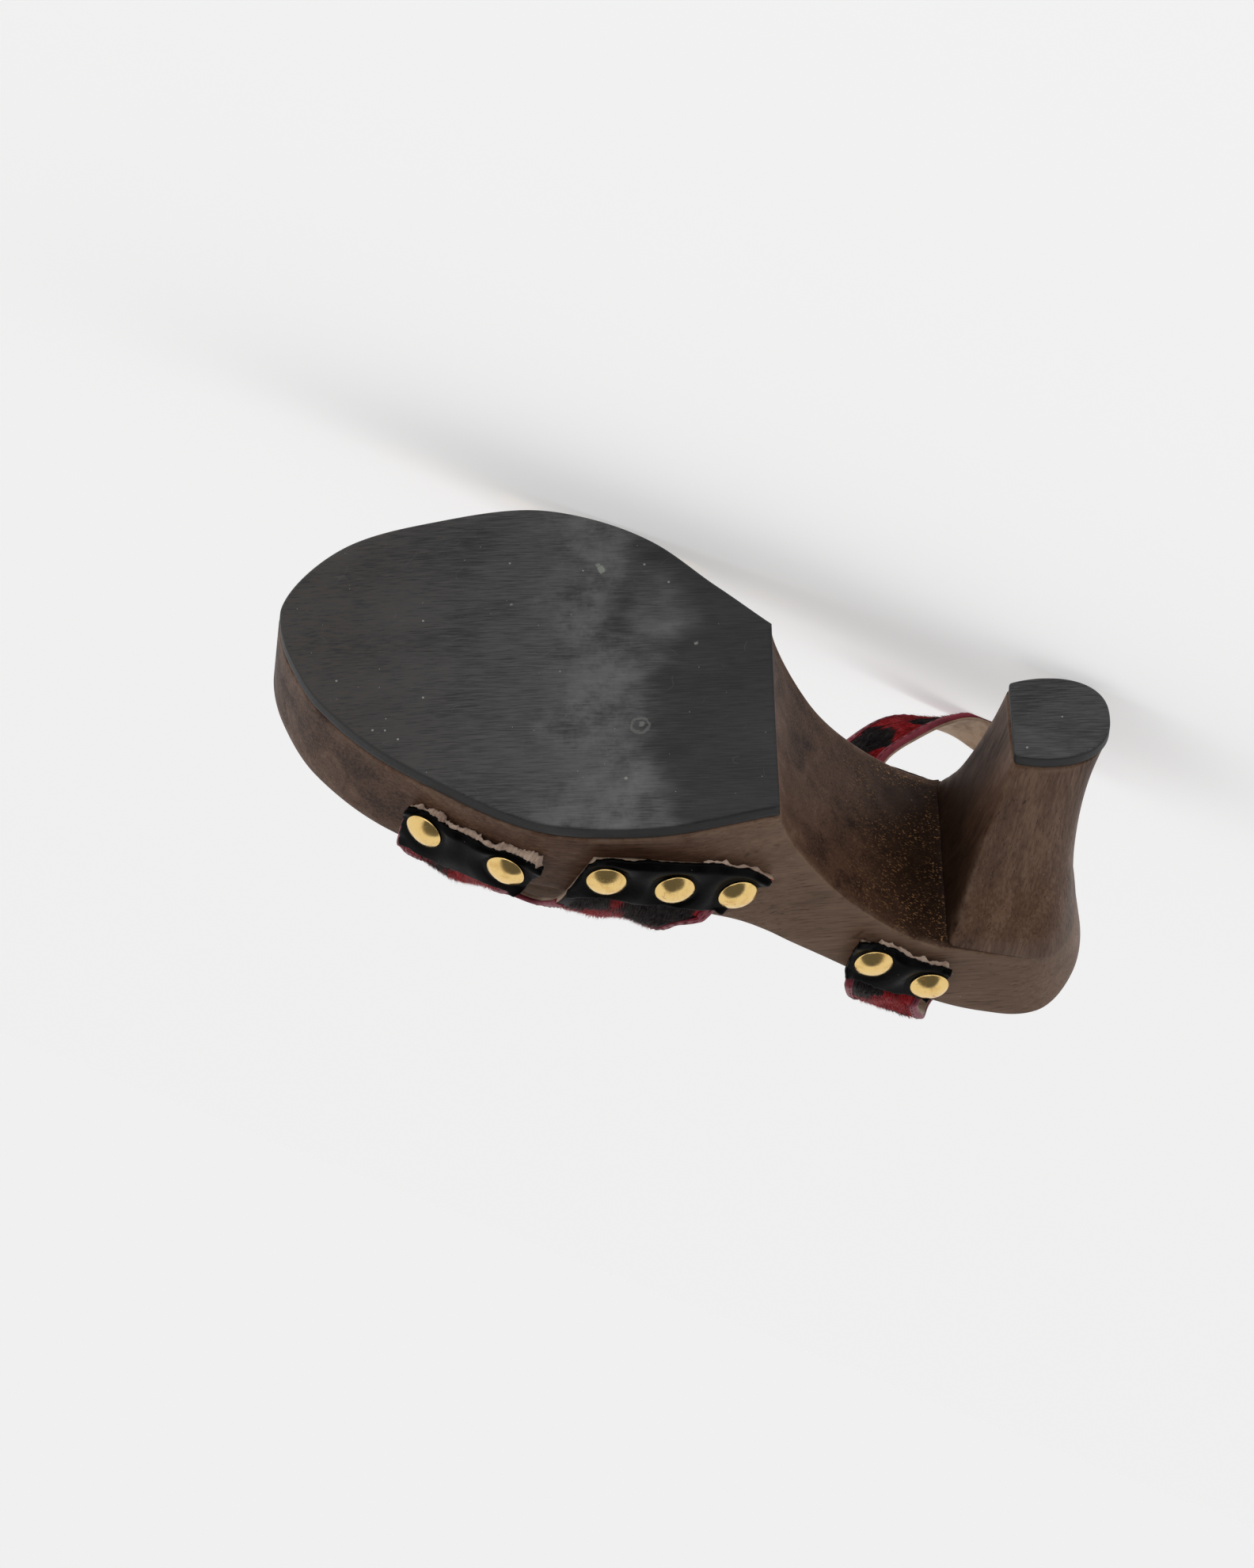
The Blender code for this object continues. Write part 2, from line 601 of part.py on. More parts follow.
def lay_on_side(root, pieces):
    """Turn the root so that the shoe lies on the facet of its hull, on the inner side, that holds its balance."""
    bpy.context.view_layer.update()
    depsgraph = bpy.context.evaluated_depsgraph_get()
    points = []
    moment = Vector()
    weight = 0.0
    for piece, density in pieces:
        shape = bmesh.new()
        shape.from_mesh(piece.evaluated_get(depsgraph).to_mesh())
        shape.transform(piece.matrix_world)
        bmesh.ops.triangulate(shape, faces=shape.faces)
        for face in shape.faces:
            a, b, c = [vert.co for vert in face.verts]
            share = density * a.dot(b.cross(c)) / 6.0
            weight += share
            moment += share * (a + b + c) / 4.0
        points += [vert.co.copy() for vert in shape.verts]
        shape.free()
    balance = moment / weight
    hull = bmesh.new()
    for point in points:
        hull.verts.new(point)
    bmesh.ops.convex_hull(hull, input=hull.verts)
    hull.normal_update()
    down = facet_under(hull, balance)
    hull.free()
    up = -down
    ahead = (Vector((1, 0, 0)) - up * up.x).normalized()
    turn = Matrix((ahead, up.cross(ahead), up)).to_4x4()
    placed = np.array([tuple(turn @ point) for point in points])
    low = placed.min(axis=0)
    high = placed.max(axis=0)
    root.matrix_world = Matrix.Translation((-0.5 * (low[0] + high[0]), -0.5 * (low[1] + high[1]), -low[2])) @ turn


def facet_under(hull, balance):
    """Outward normal of the inner side's facet that the balance point stands over."""
    best = None
    for face in hull.faces:
        normal = face.normal
        if normal.y < 0.5 or len(face.verts) < 3:
            continue
        corners = [vert.co for vert in face.verts]
        drop = normal.dot(corners[0] - balance)
        foot = balance + normal * drop
        inside = all((after - here).cross(foot - here).dot(normal) > -1e-9
                     for here, after in zip(corners, corners[1:] + corners[:1]))
        if inside and (best is None or drop < best[0]):
            best = (drop, normal.copy())
    return best[1] if best else Vector((0.0, 1.0, 0.0))


def build():
    """Every piece, under one empty that lays the shoe on its side."""
    for item in list(bpy.data.objects):
        bpy.data.objects.remove(item, do_unlink=True)
    vamp, notch = build_vamp()
    pieces = [(build_wood_sole(), WOOD_DENSITY), (build_heel_block(), WOOD_DENSITY)]
    pieces += [(build_outsole(), RUBBER_DENSITY), (build_top_lift(), RUBBER_DENSITY)]
    pieces += [(vamp, LEATHER_DENSITY), (build_ankle_band(), LEATHER_DENSITY)]
    pieces += [(patch, LEATHER_DENSITY) for patch in build_patches()]
    pieces += [(stud, BRASS_DENSITY) for stud in build_studs()]
    root = bpy.data.objects.new("shoe", None)
    bpy.context.collection.objects.link(root)
    lay_on_side(root, pieces)
    for piece in [item for item, _ in pieces] + [notch]:
        piece.parent = root


build()
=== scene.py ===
import json
import math

import bpy
import numpy as np
from mathutils import Matrix, Vector


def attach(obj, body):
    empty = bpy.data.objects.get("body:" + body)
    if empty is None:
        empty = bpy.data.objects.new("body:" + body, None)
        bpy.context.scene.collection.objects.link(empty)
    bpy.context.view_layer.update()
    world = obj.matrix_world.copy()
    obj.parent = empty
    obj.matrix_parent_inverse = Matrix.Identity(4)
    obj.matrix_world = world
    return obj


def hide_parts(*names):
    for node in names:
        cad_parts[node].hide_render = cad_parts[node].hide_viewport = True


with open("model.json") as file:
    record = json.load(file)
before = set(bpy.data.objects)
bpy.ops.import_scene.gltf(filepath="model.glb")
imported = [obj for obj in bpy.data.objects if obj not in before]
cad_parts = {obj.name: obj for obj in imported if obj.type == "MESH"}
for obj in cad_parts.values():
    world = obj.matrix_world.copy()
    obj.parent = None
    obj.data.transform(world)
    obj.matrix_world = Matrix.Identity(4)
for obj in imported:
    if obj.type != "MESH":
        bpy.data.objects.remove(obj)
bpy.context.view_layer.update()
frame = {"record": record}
print("frame loaded")

# The shoe's own frame: x to the toe, y to the inner side of the foot, z up from the ground to the footbed.
# It is rebuilt from the two treads, whose places in that frame are known.
treadSpots = {"forepart": (0.105, 0.022, 0.0), "heel": (-0.012, 0.0015, 0.0)}


def shoeAxes():
    # the treads' common normal gives z, and the line between them, turned back by its own angle, gives x
    mounts = {mount["name"]: mount for mount in frame["record"]["mounts"]}
    ahead = np.array(mounts["forepart_tread"]["pos_m"]) - np.array(mounts["heel_tread"]["pos_m"])
    up = -np.array(mounts["heel_tread"]["axis"], float)
    up /= np.linalg.norm(up)
    ahead = ahead - up * (ahead @ up)
    ahead /= np.linalg.norm(ahead)
    span = np.subtract(treadSpots["forepart"], treadSpots["heel"])
    angle = math.atan2(span[1], span[0])
    toeWay = ahead * math.cos(angle) - np.cross(up, ahead) * math.sin(angle)
    axes = np.stack([toeWay, np.cross(up, toeWay), up], axis=1)
    return axes, np.array(mounts["heel_tread"]["pos_m"]) - axes @ np.array(treadSpots["heel"])


axes, origin = shoeAxes()


def toWorld(points):
    return np.asarray(points) @ axes.T + origin


# sole sizes in metres, as in the frame
sole = {
    "length": 0.2252, "ballWidth": 0.1119, "seatBack": 0.0245, "heelHeight": 0.1032, "forepartHeight": 0.0276,
    "toeSpring": 0.0036, "seatThickness": 0.0262, "wallDraft": 0.09, "endDraft": 0.14, "rimRound": 0.0017,
    "footbedCup": 0.0026, "flatTread": 0.64, "rubberThickness": 0.0044, "rubberCut": 0.0628,
    "breastRoot": 0.0162, "archExponent": 1.4, "seatSlope": 0.3, "edgeRound": 0.0007, "seam": 0.0003,
}
lateralRim = (
    (0.000, 0.000), (0.013, -0.134), (0.056, -0.246), (0.122, -0.270), (0.286, -0.266), (0.389, -0.266),
    (0.540, -0.300), (0.690, -0.262), (0.850, -0.084), (0.944, 0.101), (0.988, 0.272), (1.000, 0.402),
)
medialRim = (
    (0.000, 0.000), (0.013, 0.134), (0.056, 0.246), (0.122, 0.270), (0.286, 0.275), (0.344, 0.297),
    (0.451, 0.462), (0.526, 0.592), (0.606, 0.668), (0.690, 0.700), (0.806, 0.681), (0.905, 0.628),
    (0.972, 0.522), (1.000, 0.402),
)
rimHeights = (
    (0.000, 1.000), (0.089, 0.984), (0.134, 0.943), (0.174, 0.892), (0.215, 0.819), (0.255, 0.733),
    (0.291, 0.653), (0.328, 0.558), (0.372, 0.442), (0.402, 0.349), (0.435, 0.257), (0.468, 0.188),
    (0.508, 0.119), (0.553, 0.058), (0.597, 0.019), (0.642, 0.003), (0.673, 0.000), (0.730, 0.011),
    (0.819, 0.042), (0.899, 0.075), (1.000, 0.111),
)
heelSections = (
    (0.00, 0.00, 0.42, 0.475, 1.070, 0.05),
    (0.25, 0.20, 0.50, 0.545, 0.910, 0.04),
    (0.48, 0.44, 0.58, 0.610, 0.825, 0.02),
    (0.73, 0.68, 0.74, 0.745, 0.790, 0.01),
    (0.90, 0.85, 0.92, 0.920, 0.795, 0.00),
    (1.00, 1.00, 1.00, 1.005, 0.810, 0.00),
    (1.18, 1.10, 1.01, 1.010, 0.880, 0.00),
)
heelShape = {"seatShare": 0.243, "roundShare": 0.72, "widestBack": 0.35, "backPower": 0.9, "sidePower": 0.82}
toeTip = sole["length"] - sole["seatBack"]
lateral = -1
medial = 1


def smoothStep(low, high, value):
    # 0 below low, 1 above high, 3t^2 - 2t^3 between
    t = np.clip((np.asarray(value, float) - low) / (high - low), 0.0, 1.0)
    return t * t * (3.0 - 2.0 * t)


def throughPoints(points, perSpan):
    # cubic spans through the points, whose tangents join the neighbours, weighted by the spans' lengths
    rows = np.array(points, float)
    rows = np.concatenate([[2 * rows[0] - rows[1]], rows, [2 * rows[-1] - rows[-2]]])
    before, start, end, after = rows[:-3], rows[1:-2], rows[2:-1], rows[3:]

    def length(way):
        return np.linalg.norm(way.reshape(len(way), -1), axis=1).reshape((-1,) + (1,) * (way.ndim - 1))

    span = length(end - start)
    lead = (end - before) * span / (span + length(start - before))
    trail = (after - start) * span / (span + length(after - end))
    t = (np.arange(perSpan) / perSpan).reshape((1, -1) + (1,) * (rows.ndim - 1))
    parts = [part[:, None] for part in (start, lead, end, trail)]
    curve = (parts[0] * (2 * t**3 - 3 * t**2 + 1) + parts[1] * (t**3 - 2 * t**2 + t)
             + parts[2] * (3 * t**2 - 2 * t**3) + parts[3] * (t**3 - t**2))
    return np.concatenate([curve.reshape((-1,) + rows.shape[1:]), rows[-2:-1]])


def rimCurve(table):
    # the outline in plan, led on past both ends by its mirror image so that it starts and stops squarely
    points = [(share * sole["length"] - sole["seatBack"], width * sole["ballWidth"]) for share, width in table]
    mirrored = [(points[1][0], -points[1][1])] + points
    mirrored.append((points[-2][0], 2 * points[-1][1] - points[-2][1]))
    return throughPoints(mirrored, 48)[48:-48]


rims = {lateral: rimCurve(lateralRim), medial: rimCurve(medialRim)}
rimSlopes = {}
for rimSide, rim in rims.items():
    forwards = rim[:, 0] + 1e-9 * np.arange(len(rim))  # no two alike
    rimSlopes[rimSide] = np.clip(np.gradient(rim[:, 1], forwards), -60.0, 60.0)
rimLine = throughPoints(rimHeights, 12)


def rimAt(x, side):
    # the rim's y, and the two parts of its outward normal in plan
    curve = rims[side]
    y = np.interp(x, curve[:, 0], curve[:, 1])
    slope = np.interp(x, curve[:, 0], rimSlopes[side])
    size = np.sqrt(slope**2 + 1.0)
    return y, -slope * side / size, side / size


def rimHeight(x):
    drop = np.interp((x + sole["seatBack"]) / sole["length"], rimLine[:, 0], rimLine[:, 1])
    return sole["forepartHeight"] + drop * (sole["heelHeight"] - sole["forepartHeight"])


def treadHeight(x):
    # flat to the ball, then a quadratic toe spring
    start = sole["flatTread"] * toeTip
    return sole["toeSpring"] * np.maximum(0.0, (x - start) / (toeTip - start)) ** 2


breastTop = float(rimHeight(sole["breastRoot"])) - sole["seatThickness"]


def undersideHeight(x):
    # forepart on the rubber, arch as a superellipse back to the breast, then the slanted joint
    x = np.asarray(x, float)
    along = np.clip((x - sole["breastRoot"]) / (sole["rubberCut"] - sole["breastRoot"]), 0.0, 1.0)
    rise = (1.0 - along ** sole["archExponent"]) ** (1.0 / sole["archExponent"])
    arch = sole["rubberThickness"] + rise * (breastTop - sole["rubberThickness"])
    joint = breastTop + sole["seatSlope"] * (sole["breastRoot"] - x)
    front = treadHeight(x) + sole["rubberThickness"]
    return np.where(x >= sole["rubberCut"], front, np.where(x <= sole["breastRoot"], joint, arch))


def wallPoint(x, height, side, out=0.0):
    # the rim moved in by the wall's draft for its depth, and out along its normal in plan
    x, height, out = np.broadcast_arrays(*(np.asarray(values, float) for values in (x, height, out)))
    y, awayX, awayY = rimAt(x, side)
    ends = np.maximum(smoothStep(0.60, 0.78, x / toeTip), smoothStep(0.02, 0.6, -x / sole["seatBack"]))
    draftX = sole["endDraft"] * ends * awayX
    draftY = side * (sole["endDraft"] * ends * np.abs(awayY) + sole["wallDraft"] * (1.0 - ends))
    depth = rimHeight(x) - height
    return np.stack([x - draftX * depth + awayX * out, y - draftY * depth + awayY * out, height], axis=-1)


def wobble(points, scale, seed):
    # smooth three-dimensional noise from -1 to 1: the mean of six sine waves in turned directions
    rng = np.random.default_rng(seed)
    total = np.zeros(np.asarray(points).shape[:-1])
    for _ in range(6):
        way = rng.normal(size=3)
        way *= rng.uniform(0.6, 1.6) * 2.0 * math.pi / scale / np.linalg.norm(way)
        total += np.sin(np.asarray(points) @ way + rng.uniform(0.0, 2.0 * math.pi))
    return total / 3.0


# meshes from grids
def newPiece(name, points, faces, replaced, materials, faceSlots=None, masks=None, uv=None):
    # a mesh from points in the shoe's frame; its faces are turned outwards if its signed volume is negative
    mesh = bpy.data.meshes.new(name)
    world = toWorld(points)
    world[:, 2] = np.maximum(world[:, 2], 0.0)  # what rests on the floor is pressed flat there
    quads = np.asarray(faces, int)
    a, b, c = world[quads[:, 0]], world[quads[:, 1]], world[quads[:, 2]]
    volume = np.einsum("ij,ij->i", a, np.cross(b, c)).sum()
    if quads.shape[1] == 4:
        volume += np.einsum("ij,ij->i", a, np.cross(c, world[quads[:, 3]])).sum()
    if volume < 0:
        quads = quads[:, ::-1]
    mesh.from_pydata(world.tolist(), [], quads.tolist())
    for material in materials:
        mesh.materials.append(material)
    if faceSlots is not None:
        mesh.polygons.foreach_set("material_index", np.asarray(faceSlots, np.int32))
    for maskName, values in (masks or {}).items():
        layer = mesh.attributes.new(maskName, "FLOAT", "POINT")
        layer.data.foreach_set("value", np.asarray(values, np.float32).ravel())
    if uv is not None:
        layer = mesh.uv_layers.new(name="strap")
        order = np.zeros(len(mesh.loops), np.int32)
        mesh.loops.foreach_get("vertex_index", order)
        layer.data.foreach_set("uv", np.asarray(uv, np.float32).reshape(-1, 2)[order].ravel())
    mesh.shade_smooth()
    mesh.update()
    piece = bpy.data.objects.new(name, mesh)
    bpy.context.collection.objects.link(piece)
    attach(piece, "root")
    for node in replaced:
        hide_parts(node)


def tubeFaces(rows, cols):
    # quads of a grid whose columns run round; its two ends stay open
    row, col = np.meshgrid(np.arange(rows - 1), np.arange(cols), indexing="ij")
    after = (col + 1) % cols
    return np.stack([row * cols + col, row * cols + after, (row + 1) * cols + after, (row + 1) * cols + col],
                    axis=-1).reshape(-1, 4)


def newSolid(name, grid, replaced, material, masks=None):
    # a closed solid through rings with an even count of points; each end is closed by a ring shrunk to its
    # middle, which takes the mask values of the ring beside it
    rows, cols = grid.shape[:2]
    ends = []
    for ring in (grid[0], grid[-1]):
        middle = ring.mean(axis=0)
        ends.append(middle + (ring - middle) * 0.02)
    points = np.concatenate([ends[0][None], grid, ends[1][None]]).reshape(-1, 3)
    cap = np.array([(k, k + 1, cols - 2 - k, cols - 1 - k) for k in range(cols // 2 - 1)])
    faces = np.concatenate([tubeFaces(rows + 2, cols), cap[:, ::-1], cap + (rows + 1) * cols])
    full = {key: np.concatenate([values[:1], values, values[-1:]]) for key, values in (masks or {}).items()}
    newPiece(name, points, faces, replaced, (material,), masks=full)


def gridNormals(grid):
    normals = np.cross(np.gradient(grid, axis=0), np.gradient(grid, axis=1))
    return normals / np.maximum(np.linalg.norm(normals, axis=2, keepdims=True), 1e-12)


def shellFaces(rows, cols, keep):
    # both faces of a sheet and the strip round its border, from the quads that are kept
    row, col = np.meshgrid(np.arange(rows - 1), np.arange(cols - 1), indexing="ij")
    here = row * cols + col
    quads = np.stack([here, here + 1, here + cols + 1, here + cols], axis=-1)[keep]
    other = rows * cols
    edges = np.concatenate([quads[:, [k, (k + 1) % 4]] for k in range(4)])
    code = edges[:, 0] * other + edges[:, 1]
    back = edges[:, 1] * other + edges[:, 0]
    border = edges[~np.isin(code, back)]
    rim = np.stack([border[:, 1], border[:, 0], border[:, 0] + other, border[:, 1] + other], axis=-1)
    faces = np.concatenate([quads, quads[:, ::-1] + other, rim])
    slots = np.concatenate([np.zeros(len(quads)), np.ones(len(quads)), np.full(len(rim), 2)])
    return faces, slots.astype(int)


# shader building
def setSockets(tree, node, inputs):
    # a value that is a socket is linked, and any other is set; a colour's alpha is 1
    for key, value in inputs.items():
        socket = node.inputs[key]
        if isinstance(value, bpy.types.NodeSocket):
            tree.links.new(value, socket)
        elif socket.type == "RGBA":
            socket.default_value = (*value, 1.0)
        else:
            socket.default_value = value


def addNode(tree, kind, inputs=None, **settings):
    node = tree.nodes.new(kind)
    for key, value in settings.items():
        setattr(node, key, value)
    setSockets(tree, node, inputs or {})
    return node


def mathNode(tree, operation, first, second):
    return addNode(tree, "ShaderNodeMath", {0: first, 1: second}, operation=operation).outputs[0]


def product(tree, first, *factors):
    for factor in factors:
        first = mathNode(tree, "MULTIPLY", first, factor)
    return first


def weightedSum(tree, *terms):
    # each term is a source and its weight
    parts = [product(tree, *term) for term in terms]
    total = parts[0]
    for part in parts[1:]:
        total = mathNode(tree, "ADD", total, part)
    return total


def layOver(tree, under, over, *amounts):
    # over laid on under by the product of the amounts
    inputs = {0: product(tree, *amounts), 6: under, 7: over}
    return addNode(tree, "ShaderNodeMix", inputs, data_type="RGBA").outputs[2]


def rangeOf(tree, source, low, high, toLow=0.0, toHigh=1.0):
    inputs = {"Value": source, "From Min": low, "From Max": high, "To Min": toLow, "To Max": toHigh}
    return addNode(tree, "ShaderNodeMapRange", inputs, interpolation_type="SMOOTHSTEP").outputs["Result"]


def scaled(tree, vector, scale):
    return addNode(tree, "ShaderNodeMapping", {"Vector": vector, "Scale": scale}).outputs["Vector"]


def noise(tree, vector, scale, detail=2.0, roughness=0.5, distortion=0.0):
    inputs = {"Vector": vector, "Scale": scale, "Detail": detail, "Roughness": roughness}
    inputs["Distortion"] = distortion
    return addNode(tree, "ShaderNodeTexNoise", inputs).outputs["Fac"]


def makeGroup(name, inputs, outputs):
    group = bpy.data.node_groups.new(name, "ShaderNodeTree")
    kinds = {"vector": "NodeSocketVector", "colour": "NodeSocketColor", "value": "NodeSocketFloat"}
    for socketName, kind, value in inputs:
        socket = group.interface.new_socket(name=socketName, in_out="INPUT", socket_type=kinds[kind])
        if value is not None:
            socket.default_value = (*value, 1.0) if kind == "colour" else value
    for socketName, kind in outputs:
        group.interface.new_socket(name=socketName, in_out="OUTPUT", socket_type=kinds[kind])
    return group, addNode(group, "NodeGroupInput").outputs, addNode(group, "NodeGroupOutput")


def placeGroup(tree, group, inputs):
    return addNode(tree, "ShaderNodeGroup", inputs, node_tree=group).outputs


def newMaterial(name, sockets):
    material = bpy.data.materials.new(name)
    material.use_nodes = True
    shader = material.node_tree.nodes["Principled BSDF"]
    setSockets(material.node_tree, shader, sockets)
    return material, material.node_tree, shader


def shoeVector(tree):
    # object coordinates turned and moved into the shoe's own frame
    place = addNode(tree, "ShaderNodeTexCoord").outputs["Object"]
    turn = Matrix(axes.T.tolist()).to_euler("XYZ")
    inputs = {"Vector": place, "Rotation": turn, "Location": Vector(-axes.T @ origin)}
    return addNode(tree, "ShaderNodeMapping", inputs).outputs["Vector"]


def mask(tree, name):
    return addNode(tree, "ShaderNodeAttribute", attribute_name=name).outputs["Fac"]


def bumpOf(tree, height, distance, strength):
    inputs = {"Height": height, "Strength": strength, "Distance": distance}
    return addNode(tree, "ShaderNodeBump", inputs).outputs["Normal"]


def buildWoodGroup():
    # grain: tone from long soft bands, fine fibres, and short dark pores, all stretched along the vector's x
    group, source, result = makeGroup(
        "woodGrain",
        (("Vector", "vector", None), ("Dark", "colour", (0.04, 0.02, 0.012)),
         ("Middle", "colour", (0.09, 0.05, 0.03)), ("Light", "colour", (0.16, 0.10, 0.07)),
         ("Pores", "value", 0.6)),
        (("Color", "colour"), ("Height", "value"), ("Roughness", "value")))
    vector = source["Vector"]
    bands = noise(group, scaled(group, vector, (14.0, 110.0, 110.0)), 1.0, 3.0, 0.55, 0.8)
    fibres = noise(group, scaled(group, vector, (34.0, 1500.0, 1500.0)), 1.0, 3.0, 0.65)
    patches = noise(group, scaled(group, vector, (22.0, 34.0, 34.0)), 1.0, 2.0, 0.5)
    pores = noise(group, scaled(group, vector, (150.0, 2700.0, 2700.0)), 1.0, 1.0, 0.5)
    tone = weightedSum(group, (bands, 0.38), (patches, 0.26), (fibres, 0.36))
    colour = layOver(group, source["Dark"], source["Middle"], rangeOf(group, tone, 0.36, 0.52))
    colour = layOver(group, colour, source["Light"], rangeOf(group, tone, 0.50, 0.66))
    darker = product(group, rangeOf(group, pores, 0.64, 0.74), source["Pores"])
    setSockets(group, result, {
        "Color": layOver(group, colour, source["Dark"], darker),
        "Height": mathNode(group, "SUBTRACT", product(group, fibres, 0.5), darker),
        "Roughness": rangeOf(group, tone, 0.3, 0.7, 0.62, 0.46)})
    return group


def buildSpeckGroup():
    # specks: small dots about the points of a cell pattern, kept only in some cells
    group, source, result = makeGroup(
        "dustSpecks",
        (("Vector", "vector", None), ("Scale", "value", 300.0), ("Size", "value", 0.12),
         ("Share", "value", 0.2)),
        (("Mask", "value"),))
    inputs = {"Vector": source["Vector"], "Scale": source["Scale"]}
    cells = addNode(group, "ShaderNodeTexVoronoi", inputs).outputs
    near = mathNode(group, "LESS_THAN", cells["Distance"], source["Size"])
    split = addNode(group, "ShaderNodeSeparateColor", {"Color": cells["Color"]})
    chosen = mathNode(group, "LESS_THAN", split.outputs["Red"], source["Share"])
    setSockets(group, result, {"Mask": product(group, near, chosen)})
    return group


def buildScratchGroup():
    # scratches: thin level lines of a noise, broken up by a second noise
    group, source, result = makeGroup(
        "fineScratches",
        (("Vector", "vector", None), ("Scale", "value", 120.0), ("Width", "value", 0.01)),
        (("Mask", "value"),))
    level = noise(group, source["Vector"], source["Scale"], 1.0)
    away = mathNode(group, "ABSOLUTE", mathNode(group, "SUBTRACT", level, 0.5), 0.0)
    line = mathNode(group, "LESS_THAN", away, source["Width"])
    gaps = rangeOf(group, noise(group, source["Vector"], 160.0, 1.0), 0.56, 0.64)
    setSockets(group, result, {"Mask": product(group, line, gaps)})
    return group


def buildLeatherGroup():
    # leather grain: small cells with soft creases between them, and fine pits
    group, source, result = makeGroup(
        "leatherGrain", (("Vector", "vector", None), ("Scale", "value", 900.0)), (("Height", "value"),))
    inputs = {"Vector": source["Vector"], "Scale": source["Scale"], "Smoothness": 0.4}
    cells = addNode(group, "ShaderNodeTexVoronoi", inputs, feature="SMOOTH_F1")
    fine = noise(group, source["Vector"], 2600.0, 2.0)
    setSockets(group, result, {"Height": weightedSum(group, (cells.outputs["Distance"],), (fine, 0.4))})
    return group


woodGroup = buildWoodGroup()
speckGroup = buildSpeckGroup()
scratchGroup = buildScratchGroup()
leatherGroup = buildLeatherGroup()


def dusted(tree, vector, colour, dustColour, scale, size, share, amount):
    # small pale specks over a colour
    specks = placeGroup(tree, speckGroup, {"Vector": vector, "Scale": scale, "Size": size, "Share": share})
    return layOver(tree, colour, dustColour, specks["Mask"], amount)


# the darkest colour below paints shade in the arch's hollow and on the heel's breast, and the pale brown just
# before the dust colour paints light on the waist's walls and the heel's sides
woodLook = {
    "dark": (0.026, 0.011, 0.006), "middle": (0.094, 0.046, 0.026), "light": (0.180, 0.104, 0.066),
    "rubbed": (0.20, 0.130, 0.090), "hollow": (0.011, 0.0045, 0.002), "endSpeck": (0.36, 0.185, 0.080),
    "paintedLight": (0.26, 0.165, 0.110), "dust": (0.35, 0.30, 0.27), "coat": 0.03, "coatRoughness": 0.38,
    "gloss": 0.15, "heelTurn": 82.0, "solePores": 0.6, "heelPores": 0.75,
}


def woodMaterial(name, turned):
    # stained walnut; turned is true for the heel, whose grain runs down its shaft
    material, tree, shader = newMaterial(name, {
        "Coat Weight": woodLook["coat"], "Coat Roughness": woodLook["coatRoughness"],
        "Specular IOR Level": woodLook["gloss"]})
    vector = shoeVector(tree)
    grain = vector
    if turned:
        inputs = {"Vector": vector, "Rotation": (0.0, math.radians(woodLook["heelTurn"]), 0.0)}
        grain = addNode(tree, "ShaderNodeMapping", inputs).outputs["Vector"]
    wood = placeGroup(tree, woodGroup, {
        "Vector": grain, "Dark": woodLook["dark"], "Middle": woodLook["middle"], "Light": woodLook["light"],
        "Pores": woodLook["heelPores" if turned else "solePores"]})
    cloud = rangeOf(tree, noise(tree, vector, 60.0, 3.0, 0.6), 0.25, 0.7, 1.0, 0.72)
    # painted shade: darker in the arch's hollow and on the heel's breast, broken up by a cloud
    colour = layOver(tree, wood["Color"], woodLook["hollow"], mask(tree, "hollow"), cloud)
    dashes = rangeOf(tree, noise(tree, scaled(tree, vector, (1300.0, 2300.0, 700.0)), 1.0, 1.0), 0.60, 0.68)
    gathered = rangeOf(tree, noise(tree, vector, 75.0, 2.0), 0.34, 0.56)
    colour = layOver(tree, colour, woodLook["endSpeck"], dashes, mask(tree, "endGrain"), gathered, 0.85)
    scuffed = rangeOf(tree, noise(tree, vector, 130.0, 4.0, 0.7), 0.38, 0.66)
    colour = layOver(tree, colour, woodLook["rubbed"], mask(tree, "rub"), scuffed, 0.7)
    paintedLightByGrain = rangeOf(tree, wood["Height"], -0.1, 0.5, 0.15, 0.60)
    # painted light: a paler tone, following the grain, over the waist's walls and the heel's faces away from
    # its breast
    colour = layOver(tree, colour, woodLook["paintedLight"], mask(tree, "paintedLightMask"), paintedLightByGrain)
    knots = rangeOf(tree, noise(tree, vector, 95.0, 3.0, 0.65), 0.66, 0.76)
    colour = layOver(tree, colour, woodLook["dark"], knots, 0.55)
    colour = dusted(tree, vector, colour, woodLook["dust"], 420.0, 0.10, 0.10, 0.35)
    setSockets(tree, shader, {"Base Color": colour, "Roughness": wood["Roughness"],
                              "Normal": bumpOf(tree, wood["Height"], 0.00012, 0.55)})
    return material


# the dust colour also paints the highlight band over the ball, and the dark colour paints the shade behind it
rubberLook = {
    "dark": (0.016, 0.016, 0.0175), "light": (0.092, 0.091, 0.093), "dust": (0.200, 0.198, 0.198),
    "speck": (0.50, 0.50, 0.48), "grey": (0.26, 0.27, 0.24), "toe": (0.046, 0.036, 0.028),
    "side": (0.012, 0.0115, 0.0115), "gloss": 0.30,
}
rubberMarks = (
    # forward, inward, outer and inner radius in metres, and how pale: scuffs and a small crater on the forepart
    (0.1085, 0.0540, 0.0010, -0.001, 0.9), (0.1095, 0.0555, 0.0005, -0.001, 0.7),
    (0.0990, 0.0022, 0.0026, 0.0019, 0.30), (0.0985, 0.0027, 0.0007, -0.001, 0.45),
    (0.1710, 0.0330, 0.0005, -0.001, 0.9), (0.0835, 0.0285, 0.0004, -0.001, 0.8),
    (0.1030, -0.0145, 0.0004, -0.001, 0.9), (0.1330, 0.0430, 0.0003, -0.001, 0.8),
)


